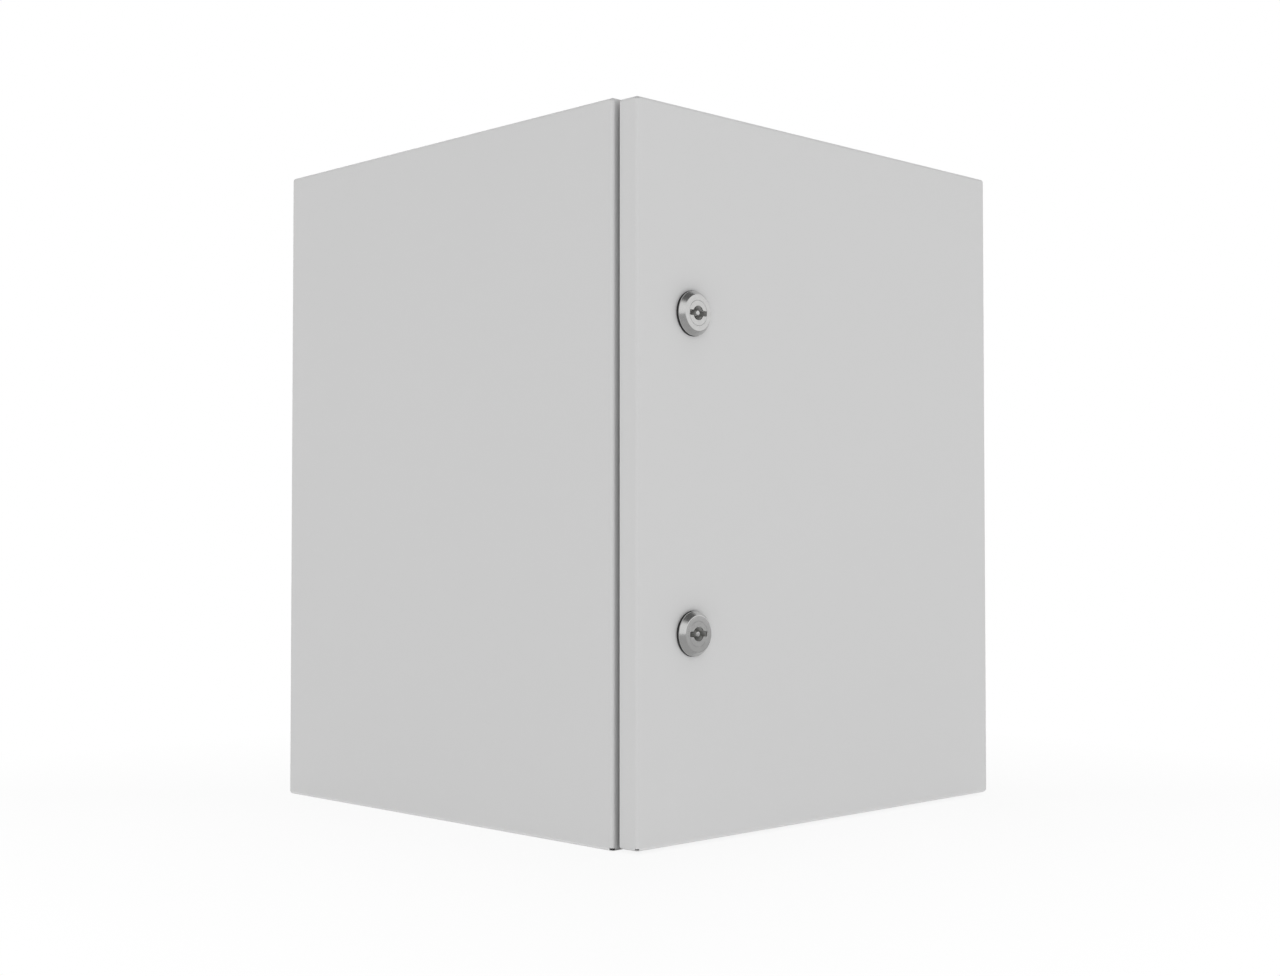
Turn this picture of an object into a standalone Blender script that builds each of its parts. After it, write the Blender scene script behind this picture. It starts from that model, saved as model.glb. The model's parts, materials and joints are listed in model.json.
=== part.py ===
"""A wall-mounting sheet-steel switchboard cabinet with a hinged, double-locked door.

Units are metres. +Z is up, the door faces -Y, its hinges are at +X and its locks at -X.
The origin is at the centre of the outer box's bottom.
"""

import math

import bmesh
import bpy
from mathutils import Matrix, Vector

# ---- Overall sizes
cabinet_width = 0.400
cabinet_height = 0.500
cabinet_depth = 0.400  # wall to door front, without the lock heads

# ---- Clearances
touch_gap = 0.0003  # between pieces that rest on each other
swing_gap = 0.0005  # between the turning door and what stands still
cut_past = 0.003  # how far a cutter runs past what it cuts

# ---- Sheet metal
body_sheet = 0.0015
body_bend = 0.0025  # outside radius of every bend in the body
lip_corner = 0.006
door_sheet = 0.0015
door_bend = 0.0025
door_edge_inset = 0.002  # door edge to body side
door_return_behind_axis = 0.0075  # hinge axis to the rear edge of the door's folded return

# ---- Hinges
hinge_axis_inset = 0.009  # from the body side
hinge_axis_behind_lip = 0.0017  # from the front edge of the body's lip
hinge_end_inset = 0.075  # cabinet end to hinge middle
hinge_pin_radius = 0.002
hinge_knuckle_wall = 0.0017
hinge_body_knuckle = 0.030
hinge_door_knuckle = 0.014
hinge_sheet = 0.0018
hinge_leg_width = 0.0077
hinge_leaf_width = 0.012
hinge_screw_radius = 0.0017
hinge_screw_head_radius = 0.0034
hinge_screw_head_height = 0.0024
hinge_screw_spacing = 0.020

# ---- Door seal
seal_width = 0.010
seal_thickness = 0.0054

# ---- Locks
lock_edge_inset = 0.054  # from the body side to the lock axis
lock_spacing = 0.216
lock_projection = 0.006  # lock face in front of the door
lock_barrel_radius = 0.0086
lock_sleeve_wall = 0.0021
lock_head_overhang = 0.0043  # head edge past the threaded sleeve
lock_head_bevel = 0.0028  # head edge to the flat face
lock_head_rim = 0.0006  # straight edge under the bevel
lock_seal_overhang = 0.0002  # seal edge past the head
lock_seal_thickness = 0.0015
lock_square = 0.008  # across the flats of the cam square
lock_shaft_margin = 0.0004  # shaft surface past the square's corners
lock_tail_depth = 0.004  # rear wall of the housing
lock_nut_wall = 0.0025
lock_nut_thickness = 0.0045
key_bore_radius = 0.00495
key_pin_radius = 0.0015
key_pin_recess = 0.0015  # pin tip behind the lock face
key_bit_height = 0.00375
key_bit_edge = 0.0005  # bit end to barrel edge
key_depth = 0.012
key_floor = 0.0015  # how far the key pin is sunk into the socket's floor
cam_flange_gap = 0.001  # between the closed cam and the body's flange
cam_thickness = 0.003
cam_width = 0.017
cam_reach = 0.040  # lock axis to cam tip
cam_screw_radius = 0.0025
cam_screw_flats = 0.010
cam_screw_head = 0.004
cam_screw_hole_end = 0.0015  # screw tip to the end of its hole
cam_washer_overlap = 0.0015  # washer edge past the square's corners

# ---- Mounting plate on its studs
plate_side_gap = 0.040  # body side to plate edge
plate_end_gap = 0.030
plate_thickness = 0.0025
plate_corner = 0.005
plate_stud_inset = 0.015  # plate edge to stud axis
plate_slot_inset = 0.040
plate_slot_length = 0.012
plate_slot_width = 0.005
plate_slot_rows = 4
stud_radius = 0.004
stud_collar_radius = 0.0065
stud_collar_length = 0.015
stud_end = 0.002  # thread that shows past the nut
nut_flats = 0.013
nut_thickness = 0.0065
nut_flange_radius = 0.0085
nut_flange_thickness = 0.0015

# ---- Wall fixing
wall_hole_radius = 0.00425
wall_hole_inset = 0.030
plug_head_radius = 0.007
plug_head_thickness = 0.002

# ---- Cable entry
gland_opening_width = 0.260
gland_opening_depth = 0.110
gland_opening_corner = 0.008
gland_overlap = 0.018
gland_sheet = 0.0015
gland_seal_width = 0.010
gland_seal_thickness = 0.003
gland_stud_radius = 0.0025
gland_nut_flats = 0.008
gland_nut_thickness = 0.004

# ---- Earthing
earth_stud_length = 0.020
earth_body_side_inset = 0.050
earth_body_behind_front = 0.060
earth_door_side_inset = 0.050  # from the hinge side
earth_door_height = 0.060

# ---- Door rails
rail_inset = 0.082  # body side to rail middle
rail_end_inset = 0.060
rail_sheet = 0.0015
rail_leg = 0.010
rail_height = 0.010
rail_hole_radius = 0.0019
rail_hole_pitch = 0.025

# ---- Worked-out places
door_edge = cabinet_width / 2 - door_edge_inset
axis_to_edge = hinge_axis_inset - door_edge_inset
hinge_axis_behind_front = door_sheet + 2 * touch_gap + seal_thickness + hinge_axis_behind_lip
door_return_depth = hinge_axis_behind_front + door_return_behind_axis
corner_swing = math.hypot(axis_to_edge, hinge_axis_behind_front)
door_standoff = hinge_axis_behind_front + corner_swing + swing_gap
return_swing = math.hypot(axis_to_edge, door_return_behind_axis)
gutter_width = hinge_axis_inset + return_swing + swing_gap + hinge_sheet + touch_gap

back_y = (cabinet_depth + lock_projection) / 2
door_front_y = back_y - cabinet_depth
body_front_y = door_front_y + door_standoff
door_inner_y = door_front_y + door_sheet
door_rear_y = door_front_y + door_return_depth
seal_rear_y = door_inner_y + touch_gap + seal_thickness
lip_front_y = seal_rear_y + touch_gap
flange_rear_y = body_front_y + body_sheet
back_inner_y = back_y - body_sheet

half_width = cabinet_width / 2
half_height = cabinet_height / 2
lip_half_width = half_width - gutter_width
lip_half_height = half_height - gutter_width

hinge_x = half_width - hinge_axis_inset
hinge_y = door_front_y + hinge_axis_behind_front
hinge_knuckle_radius = hinge_pin_radius + touch_gap + hinge_knuckle_wall
hinge_heights = {"lower": hinge_end_inset, "upper": cabinet_height - hinge_end_inset}

lock_x = -half_width + lock_edge_inset
lock_heights = {"lower": half_height - lock_spacing / 2, "upper": half_height + lock_spacing / 2}
lock_face_y = door_front_y - lock_projection
lock_bore_radius = lock_barrel_radius + touch_gap
lock_thread_radius = lock_bore_radius + lock_sleeve_wall
lock_hole_radius = lock_thread_radius + touch_gap
lock_head_radius = lock_thread_radius + lock_head_overhang
lock_shaft_radius = lock_square / math.sqrt(2) + lock_shaft_margin
housing_head_y = door_front_y - 2 * touch_gap - lock_seal_thickness
cam_front_y = flange_rear_y + cam_flange_gap
cam_rear_y = cam_front_y + cam_thickness
housing_rear_y = cam_front_y - touch_gap
barrel_rear_y = housing_rear_y - lock_tail_depth - touch_gap
cam_screw_tip_y = lock_face_y + key_depth + 2 * key_floor + cam_screw_hole_end

plate_half_width = half_width - plate_side_gap
plate_half_height = half_height - plate_end_gap
plate_rear_y = back_inner_y - 2 * touch_gap - stud_collar_length
plate_front_y = plate_rear_y - plate_thickness
stud_x = plate_half_width - plate_stud_inset
stud_z = plate_half_height - plate_stud_inset

gland_y = (body_front_y + back_y) / 2
gland_seal_z = body_sheet + touch_gap
gland_plate_z = gland_seal_z + gland_seal_thickness + touch_gap
gland_top_z = gland_plate_z + gland_sheet

# ---- Finishes: name, colour, roughness, metallic
finishes = {
    "powder_coat": ((0.60, 0.60, 0.59, 1), 0.55, 0.0),
    "zinc_plate": ((0.62, 0.64, 0.66, 1), 0.35, 1.0),
    "galvanised": ((0.55, 0.57, 0.58, 1), 0.45, 1.0),
    "satin_chrome": ((0.78, 0.78, 0.77, 1), 0.25, 1.0),
    "black_rubber": ((0.03, 0.03, 0.03, 1), 0.8, 0.0),
    "grey_foam": ((0.10, 0.10, 0.10, 1), 0.95, 0.0),
    "black_plastic": ((0.04, 0.04, 0.04, 1), 0.5, 0.0),
    "copper_plate": ((0.72, 0.42, 0.28, 1), 0.35, 1.0),
}


# ---- Modelling helpers
def object_from(name, bm):
    """One object at the world origin from a bmesh, with its faces pointing out."""
    bmesh.ops.recalc_face_normals(bm, faces=bm.faces)
    mesh = bpy.data.meshes.new(name)
    bm.to_mesh(mesh)
    bm.free()
    obj = bpy.data.objects.new(name, mesh)
    bpy.context.collection.objects.link(obj)
    return obj


def finish(obj, finish_name, smooth=False):
    """Give the object a material of its own, and smooth shading where it is round."""
    colour, roughness, metallic = finishes[finish_name]
    material = bpy.data.materials.new(f"{obj.name}_{finish_name}")
    material.use_nodes = True
    shader = material.node_tree.nodes["Principled BSDF"]
    shader.inputs["Base Color"].default_value = colour
    shader.inputs["Roughness"].default_value = roughness
    shader.inputs["Metallic"].default_value = metallic
    obj.data.materials.append(material)
    if smooth:
        obj.data.shade_smooth()
        obj.data.set_sharp_from_angle(angle=math.radians(35))
    return obj


def hide(obj):
    """Keep a cutter or a joined helper out of the part."""
    obj.hide_render = True
    obj.display_type = "WIRE"
    return obj


def combine(obj, other, operation):
    modifier = obj.modifiers.new(f"{operation.lower()}_{other.name}", "BOOLEAN")
    modifier.operation = operation
    modifier.solver = "EXACT"
    modifier.object = hide(other)
    return obj


def cut(obj, *cutters):
    for cutter in cutters:
        combine(obj, cutter, "DIFFERENCE")
    return obj


def join(obj, *others):
    for other in others:
        combine(obj, other, "UNION")
    return obj


def box(name, low, high, bend=0.0, bent_edges=None, segments=3):
    """A box between two corners, with the edges that bent_edges picks (or all) rounded by bend."""
    bm = bmesh.new()
    size = Vector(high) - Vector(low)
    middle = (Vector(high) + Vector(low)) / 2
    place = Matrix.Translation(middle) @ Matrix.Diagonal((*size, 1))
    bmesh.ops.create_cube(bm, size=1, matrix=place)
    if bend:
        edges = [edge for edge in bm.edges if bent_edges is None or bent_edges(edge)]
        bmesh.ops.bevel(
            bm, geom=edges, offset=bend, segments=segments, profile=0.5, affect="EDGES"
        )
    return object_from(name, bm)


def prisms(name, outlines, start, end, axis):
    """Extrude closed outlines along Y or Z as one object. Their points lie across that axis."""
    bm = bmesh.new()
    place = {"Y": lambda a, b: (a, start, b), "Z": lambda a, b: (a, b, start)}[axis]
    faces = [bm.faces.new([bm.verts.new(place(a, b)) for a, b in outline]) for outline in outlines]
    run = Vector([end - start if letter == axis else 0 for letter in "XYZ"])
    moved = bmesh.ops.extrude_face_region(bm, geom=faces)["geom"]
    bmesh.ops.translate(bm, vec=run, verts=[v for v in moved if isinstance(v, bmesh.types.BMVert)])
    return object_from(name, bm)


def prism(name, outline, start, end, axis):
    return prisms(name, [outline], start, end, axis)


def rounded_rectangle(centre, half_a, half_b, radius, steps=3):
    """The outline of a rectangle with rounded corners."""
    corners = [(1, 1, 0), (-1, 1, 90), (-1, -1, 180), (1, -1, 270)]
    points = []
    for side_a, side_b, start in corners:
        for step in range(steps + 1):
            angle = math.radians(start + 90 * step / steps)
            a = centre[0] + side_a * (half_a - radius) + radius * math.cos(angle)
            b = centre[1] + side_b * (half_b - radius) + radius * math.sin(angle)
            points.append((a, b))
    return points


def regular(centre, radius, count, turn=0.0):
    """The corners of a regular polygon."""
    angles = [turn + math.tau * i / count for i in range(count)]
    return [(centre[0] + radius * math.cos(a), centre[1] + radius * math.sin(a)) for a in angles]


def hexagon(centre, flats, turn=0.0):
    return regular(centre, flats / 2 / math.cos(math.pi / 6), 6, turn)


def rods(name, centres, radius, start, end, axis, count=16):
    """Round bars along an axis, as one object."""
    outlines = [regular(centre, radius, count) for centre in centres]
    return prisms(name, outlines, start, end, axis)


def rod(name, centre, radius, start, end, axis, count=16):
    return rods(name, [centre], radius, start, end, axis, count)


def turned(name, profile, place, count=16, bored=False):
    """Turn a profile of (radius, height) points about +Z, then place it.

    A bored piece's profile closes on itself. Any other is capped flat at both ends.
    """
    bm = bmesh.new()
    rings = []
    for radius, height in profile:
        rings.append([bm.verts.new((x, y, height)) for x, y in regular((0, 0), radius, count)])
    next_rings = rings[1:] + rings[:1] if bored else rings[1:]
    for lower, upper in zip(rings, next_rings):
        for i in range(count):
            j = (i + 1) % count
            bm.faces.new([lower[i], lower[j], upper[j], upper[i]])
    if not bored:
        bm.faces.new(rings[0])
        bm.faces.new(rings[-1])
    bmesh.ops.transform(bm, matrix=place, verts=bm.verts)
    return object_from(name, bm)


def pointing(direction, start):
    """The placement that turns +Z to a direction and moves the base to a point."""
    turn = Vector((0, 0, 1)).rotation_difference(Vector(direction))
    return Matrix.Translation(start) @ turn.to_matrix().to_4x4()


# ---- Body
def make_body_shell():
    """One folded box: walls, front flange, and the forward lip that the door seal closes on."""
    low = (-half_width, body_front_y, 0)
    high = (half_width, back_y, cabinet_height)
    shell = box("body_shell", low, high, body_bend)
    lip_block = prism(
        "lip_block",
        rounded_rectangle((0, half_height), lip_half_width, lip_half_height, lip_corner),
        lip_front_y,
        body_front_y + body_sheet / 2,
        "Y",
    )
    inner = box(
        "shell_inside",
        [value + body_sheet for value in low],
        [value - body_sheet for value in high],
        body_bend - body_sheet,
    )
    window = prism(
        "lip_window",
        rounded_rectangle(
            (0, half_height),
            lip_half_width - body_sheet,
            lip_half_height - body_sheet,
            lip_corner - body_sheet,
        ),
        lip_front_y - cut_past,
        flange_rear_y + cut_past,
        "Y",
    )
    join(shell, lip_block)
    cut(shell, inner, window, make_gland_cutter())
    through_back = (back_inner_y - cut_past, back_y + cut_past)
    cut(shell, rods("wall_holes", wall_hole_places(), wall_hole_radius, *through_back, "Y", 12))
    screw_places = [place for side in hinge_heights for place in hinge_screw_places(side)]
    through_flange = (body_front_y - cut_past, flange_rear_y + cut_past)
    hole_radius = hinge_screw_radius + touch_gap
    cut(shell, rods("hinge_screw_holes", screw_places, hole_radius, *through_flange, "Y", 12))
    return finish(shell, "powder_coat")


def make_gland_cutter():
    outline = rounded_rectangle(
        (0, gland_y), gland_opening_width / 2, gland_opening_depth / 2, gland_opening_corner
    )
    return prism("gland_cutter", outline, -cut_past, body_sheet + cut_past, "Z")


def wall_hole_places():
    x = half_width - wall_hole_inset
    z = half_height - wall_hole_inset
    return [(side * x, half_height + end * z) for side in (-1, 1) for end in (-1, 1)]


def make_wall_hole_plug(index, x, z):
    profile = [
        (plug_head_radius, 0),
        (plug_head_radius, plug_head_thickness),
        (wall_hole_radius - touch_gap, plug_head_thickness),
        (wall_hole_radius - touch_gap, plug_head_thickness + body_sheet),
    ]
    start = (x, back_inner_y - touch_gap - plug_head_thickness, z)
    plug = turned(f"wall_hole_plug_{index}", profile, pointing((0, 1, 0), start))
    return finish(plug, "black_plastic", smooth=True)


# ---- Threaded studs and flange nuts
def make_stud(name, start, direction, collar_length, shank_length, radius, collar_radius, finish_name):
    """A welded stud: a collar on the sheet, then the threaded shank."""
    profile = [
        (collar_radius, 0),
        (collar_radius, collar_length),
        (radius, collar_length),
        (radius, collar_length + shank_length),
    ]
    return finish(turned(name, profile, pointing(direction, start)), finish_name, smooth=True)


def make_flange_nut(name, centre, start, sign, axis, bore_radius, flats, thickness, flange_radius):
    """A hexagon nut on its flange, bored through. It stands from start in the direction of sign."""
    flange_end = start + sign * nut_flange_thickness
    end = start + sign * thickness
    through = (start - sign * cut_past, end + sign * cut_past)
    nut = prism(name, hexagon(centre, flats), start + sign * nut_flange_thickness / 2, end, axis)
    flange = rod(f"{name}_flange", centre, flange_radius, start, flange_end, axis)
    bore = rod(f"{name}_bore", centre, bore_radius, *through, axis, 12)
    join(nut, flange)
    cut(nut, bore)
    return finish(nut, "zinc_plate", smooth=True)


# ---- Mounting plate
def mounting_stud_places():
    return [(side * stud_x, half_height + end * stud_z) for side in (-1, 1) for end in (-1, 1)]


def make_mounting_plate():
    outline = rounded_rectangle((0, half_height), plate_half_width, plate_half_height, plate_corner)
    plate = prism("mounting_plate", outline, plate_front_y, plate_rear_y, "Y")
    through = (plate_front_y - cut_past, plate_rear_y + cut_past)
    hole_radius = stud_radius + touch_gap
    cut(plate, rods("plate_holes", mounting_stud_places(), hole_radius, *through, "Y", 12))
    reach = plate_half_height - plate_slot_inset
    pitch = 2 * reach / (plate_slot_rows - 1)
    heights = [half_height - reach + row * pitch for row in range(plate_slot_rows)]
    half_slot = plate_slot_width / 2
    slots = [
        rounded_rectangle((side * stud_x, z), half_slot, plate_slot_length / 2, half_slot)
        for z in heights
        for side in (-1, 1)
    ]
    cut(plate, prisms("plate_slots", slots, *through, "Y"))
    return finish(plate, "galvanised")


def make_mounting_fasteners():
    for index, (x, z) in enumerate(mounting_stud_places(), 1):
        shank = 2 * touch_gap + plate_thickness + nut_thickness + stud_end
        make_stud(
            f"mounting_stud_{index}",
            (x, back_inner_y - touch_gap, z),
            (0, -1, 0),
            stud_collar_length,
            shank,
            stud_radius,
            stud_collar_radius,
            "zinc_plate",
        )
        make_flange_nut(
            f"mounting_nut_{index}",
            (x, z),
            plate_front_y - touch_gap,
            -1,
            "Y",
            stud_radius + touch_gap,
            nut_flats,
            nut_thickness,
            nut_flange_radius,
        )


# ---- Cable entry in the bottom
def make_gland_parts():
    half_a = gland_opening_width / 2 + gland_overlap
    half_b = gland_opening_depth / 2 + gland_overlap
    stud_inset = (gland_overlap - gland_seal_width) / 2
    stud_a = half_a - stud_inset
    stud_b = half_b - stud_inset
    places = [(side * stud_a, gland_y + end * stud_b) for side in (-1, 1) for end in (-1, 1)]

    plate_outline = rounded_rectangle((0, gland_y), half_a, half_b, gland_opening_corner)
    plate = prism("gland_plate", plate_outline, gland_plate_z, gland_top_z, "Z")
    hole_radius = gland_stud_radius + touch_gap
    through = (gland_plate_z - cut_past, gland_top_z + cut_past)
    cut(plate, rods("gland_holes", places, hole_radius, *through, "Z", 12))
    finish(plate, "galvanised")

    seal_outline = rounded_rectangle(
        (0, gland_y),
        gland_opening_width / 2 + gland_seal_width,
        gland_opening_depth / 2 + gland_seal_width,
        gland_opening_corner + gland_seal_width,
    )
    seal = prism("gland_gasket", seal_outline, gland_seal_z, gland_seal_z + gland_seal_thickness, "Z")
    hole_outline = rounded_rectangle(
        (0, gland_y), gland_opening_width / 2, gland_opening_depth / 2, gland_opening_corner
    )
    hole = prism("gland_seal_hole", hole_outline, gland_seal_z - cut_past, gland_plate_z + cut_past, "Z")
    finish(cut(seal, hole), "grey_foam")

    for index, place in enumerate(places, 1):
        collar = gland_plate_z - gland_seal_z - touch_gap
        make_stud(
            f"gland_stud_{index}",
            (*place, gland_seal_z),
            (0, 0, 1),
            collar,
            2 * touch_gap + gland_sheet + gland_nut_thickness + stud_end / 2,
            gland_stud_radius,
            gland_stud_radius + 2 * touch_gap,
            "zinc_plate",
        )
        make_flange_nut(
            f"gland_nut_{index}",
            place,
            gland_top_z + touch_gap,
            1,
            "Z",
            gland_stud_radius + touch_gap,
            gland_nut_flats,
            gland_nut_thickness,
            gland_nut_flats / 2 + touch_gap,
        )


# ---- Hinges
def hinge_screw_places(side):
    x = hinge_leg_start() + hinge_sheet + (hinge_leg_width - hinge_sheet) / 2
    z = hinge_heights[side]
    return [(x, z + end * hinge_screw_spacing / 2) for end in (-1, 1)]


def hinge_leg_start():
    return lip_half_width + touch_gap


def make_hinge_bracket(side):
    """The goose-neck on the body: a leg on the flange, a riser along the lip, an arm to the knuckle."""
    z = hinge_heights[side]
    low_z = z - hinge_body_knuckle / 2
    high_z = z + hinge_body_knuckle / 2
    leg_x = hinge_leg_start()
    leg_rear_y = body_front_y - touch_gap
    arm_front_y = lip_front_y
    outline = [
        (leg_x, leg_rear_y),
        (leg_x, arm_front_y),
        (hinge_x, arm_front_y),
        (hinge_x, arm_front_y + hinge_sheet),
        (leg_x + hinge_sheet, arm_front_y + hinge_sheet),
        (leg_x + hinge_sheet, leg_rear_y - hinge_sheet),
        (leg_x + hinge_leg_width, leg_rear_y - hinge_sheet),
        (leg_x + hinge_leg_width, leg_rear_y),
    ]
    bracket = prism(f"hinge_bracket_{side}", outline, low_z, high_z, "Z")
    join(
        bracket,
        rod(f"body_knuckle_{side}", (hinge_x, hinge_y), hinge_knuckle_radius, low_z, high_z, "Z"),
    )
    bore_radius = hinge_pin_radius + touch_gap
    cut(
        bracket,
        rod(
            f"body_bore_{side}",
            (hinge_x, hinge_y),
            bore_radius,
            low_z - cut_past,
            high_z + cut_past,
            "Z",
        ),
    )
    holes = rods(
        f"bracket_holes_{side}",
        hinge_screw_places(side),
        hinge_screw_radius + touch_gap,
        leg_rear_y - hinge_sheet - cut_past,
        leg_rear_y + cut_past,
        "Y",
        12,
    )
    cut(bracket, holes)
    return finish(bracket, "zinc_plate")


def make_hinge_leaf(side):
    """The door's half: a leaf welded behind the panel, and a knuckle above and below the body's."""
    z = hinge_heights[side]
    inner = hinge_body_knuckle / 2 + touch_gap
    outer = inner + hinge_door_knuckle
    leaf_front_y = door_inner_y + touch_gap
    leaf_right = door_edge - door_bend - touch_gap
    leaf = box(
        f"hinge_leaf_{side}",
        (leaf_right - hinge_leaf_width, leaf_front_y, z - outer),
        (leaf_right, leaf_front_y + door_sheet, z + outer),
    )
    for end, name in ((-1, "low"), (1, "high")):
        span = sorted((z + end * inner, z + end * outer))
        web = box(
            f"leaf_web_{side}_{name}",
            (hinge_x + hinge_pin_radius, leaf_front_y + door_sheet / 2, span[0]),
            (hinge_x + hinge_knuckle_radius, hinge_y, span[1]),
        )
        knuckle = rod(
            f"door_knuckle_{side}_{name}", (hinge_x, hinge_y), hinge_knuckle_radius, *span, "Z"
        )
        join(leaf, web, knuckle)
    bore_radius = hinge_pin_radius + touch_gap
    cut(
        leaf,
        rod(
            f"door_bore_{side}",
            (hinge_x, hinge_y),
            bore_radius,
            z - outer - cut_past,
            z + outer + cut_past,
            "Z",
        ),
    )
    return finish(leaf, "zinc_plate")


def make_hinge_pin(side):
    z = hinge_heights[side]
    reach = hinge_body_knuckle / 2 + touch_gap + hinge_door_knuckle
    head_radius = hinge_pin_radius + hinge_knuckle_radius / 4
    head_height = hinge_pin_radius / 2
    length = 2 * reach + touch_gap
    profile = [
        (hinge_pin_radius, 0),
        (hinge_pin_radius, length),
        (head_radius, length),
        (head_radius, length + head_height),
    ]
    start = Matrix.Translation((hinge_x, hinge_y, z - reach))
    return finish(turned(f"hinge_pin_{side}", profile, start), "zinc_plate", smooth=True)


def make_hinge_screws(side):
    """Screws from inside the cabinet, through the flange into the bracket's leg."""
    for index, (x, z) in enumerate(hinge_screw_places(side), 1):
        head_start = hinge_screw_head_height
        profile = [
            (hinge_screw_head_radius, 0),
            (hinge_screw_head_radius, head_start),
            (hinge_screw_radius, head_start),
            (hinge_screw_radius, head_start + touch_gap + body_sheet + hinge_sheet),
        ]
        start = (x, flange_rear_y + touch_gap + hinge_screw_head_height, z)
        screw = turned(f"hinge_screw_{side}_{index}", profile, pointing((0, -1, 0), start), 12)
        finish(screw, "zinc_plate", smooth=True)


# ---- Door
def make_door_panel():
    """A shallow tray: the front sheet and its four folded returns."""

    def at_front(edge):
        """Every edge but the four around the open back."""
        return min(vert.co.y for vert in edge.verts) < door_inner_y + door_sheet

    low = (-door_edge, door_front_y, door_edge_inset)
    high = (door_edge, door_rear_y, cabinet_height - door_edge_inset)
    panel = box("door_panel", low, high, door_bend, at_front)
    inside = box(
        "door_inside",
        [value + door_sheet for value in low],
        (high[0] - door_sheet, door_rear_y + cut_past, high[2] - door_sheet),
        door_bend - door_sheet,
        at_front,
    )
    cut(panel, inside)
    places = [(lock_x, z) for z in lock_heights.values()]
    through = (door_front_y - cut_past, door_inner_y + cut_past)
    cut(panel, rods("lock_holes", places, lock_hole_radius, *through, "Y", 24))
    return finish(panel, "powder_coat")


def make_door_gasket():
    """The foamed seal, centred on the lip's front edge."""
    middle_a = lip_half_width - body_sheet / 2
    middle_b = lip_half_height - body_sheet / 2
    radius = lip_corner + seal_width / 2
    outer = rounded_rectangle(
        (0, half_height), middle_a + seal_width / 2, middle_b + seal_width / 2, radius
    )
    inner = rounded_rectangle(
        (0, half_height), middle_a - seal_width / 2, middle_b - seal_width / 2, lip_corner - body_sheet
    )
    gasket = prism("door_gasket", outer, door_inner_y + touch_gap, seal_rear_y, "Y")
    hole = prism("gasket_hole", inner, door_inner_y - cut_past, seal_rear_y + cut_past, "Y")
    return finish(cut(gasket, hole), "grey_foam")


def make_door_rail(side, sign):
    """A Z-shaped stiffener on the door, its free leg drilled on a regular pitch."""
    base = door_inner_y + touch_gap
    top = base + rail_height
    middle = sign * (half_width - rail_inset)
    outline = [
        (middle - rail_leg, base),
        (middle + rail_sheet / 2, base),
        (middle + rail_sheet / 2, top - rail_sheet),
        (middle + rail_leg, top - rail_sheet),
        (middle + rail_leg, top),
        (middle - rail_sheet / 2, top),
        (middle - rail_sheet / 2, base + rail_sheet),
        (middle - rail_leg, base + rail_sheet),
    ]
    outline = [(middle + sign * (x - middle), y) for x, y in outline]
    rail = prism(f"door_rail_{side}", outline, rail_end_inset, cabinet_height - rail_end_inset, "Z")
    run = cabinet_height - 2 * rail_end_inset
    count = int((run - rail_hole_pitch) / rail_hole_pitch) + 1
    first = half_height - (count - 1) * rail_hole_pitch / 2
    x = middle + sign * (rail_sheet / 2 + rail_leg) / 2
    places = [(x, first + index * rail_hole_pitch) for index in range(count)]
    through = (top - rail_sheet - cut_past, top + cut_past)
    cut(rail, rods(f"rail_holes_{side}", places, rail_hole_radius, *through, "Y", 8))
    return finish(rail, "powder_coat")


# ---- Locks
def make_lock_housing(side, z):
    """The fixed sleeve of a quarter-turn lock: bevelled head, threaded body, bore for the barrel."""
    tail_bore = lock_shaft_radius + touch_gap
    head_depth = housing_head_y - lock_face_y
    full_depth = housing_rear_y - lock_face_y
    profile = [
        (lock_bore_radius, 0),
        (lock_head_radius - lock_head_bevel, 0),
        (lock_head_radius, head_depth - lock_head_rim),
        (lock_head_radius, head_depth),
        (lock_thread_radius, head_depth),
        (lock_thread_radius, full_depth),
        (tail_bore, full_depth),
        (tail_bore, full_depth - lock_tail_depth),
        (lock_bore_radius, full_depth - lock_tail_depth),
    ]
    place = pointing((0, 1, 0), (lock_x, lock_face_y, z))
    housing = turned(f"lock_housing_{side}", profile, place, 24, bored=True)
    return finish(housing, "satin_chrome", smooth=True)


def make_lock_seal(side, z):
    edge = lock_head_radius + lock_seal_overhang
    profile = [
        (lock_hole_radius, 0),
        (edge, 0),
        (edge, lock_seal_thickness),
        (lock_hole_radius, lock_seal_thickness),
    ]
    place = pointing((0, -1, 0), (lock_x, door_front_y - touch_gap, z))
    seal = turned(f"lock_seal_{side}", profile, place, 24, bored=True)
    return finish(seal, "black_rubber", smooth=True)


def make_lock_nut(side, z):
    start = door_inner_y + touch_gap
    end = start + lock_nut_thickness
    flats = 2 * (lock_thread_radius + lock_nut_wall)
    nut = prism(f"lock_nut_{side}", hexagon((lock_x, z), flats), start, end, "Y")
    bore = rod(
        f"lock_nut_bore_{side}",
        (lock_x, z),
        lock_hole_radius,
        start - cut_past,
        end + cut_past,
        "Y",
        24,
    )
    return finish(cut(nut, bore), "zinc_plate")


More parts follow.
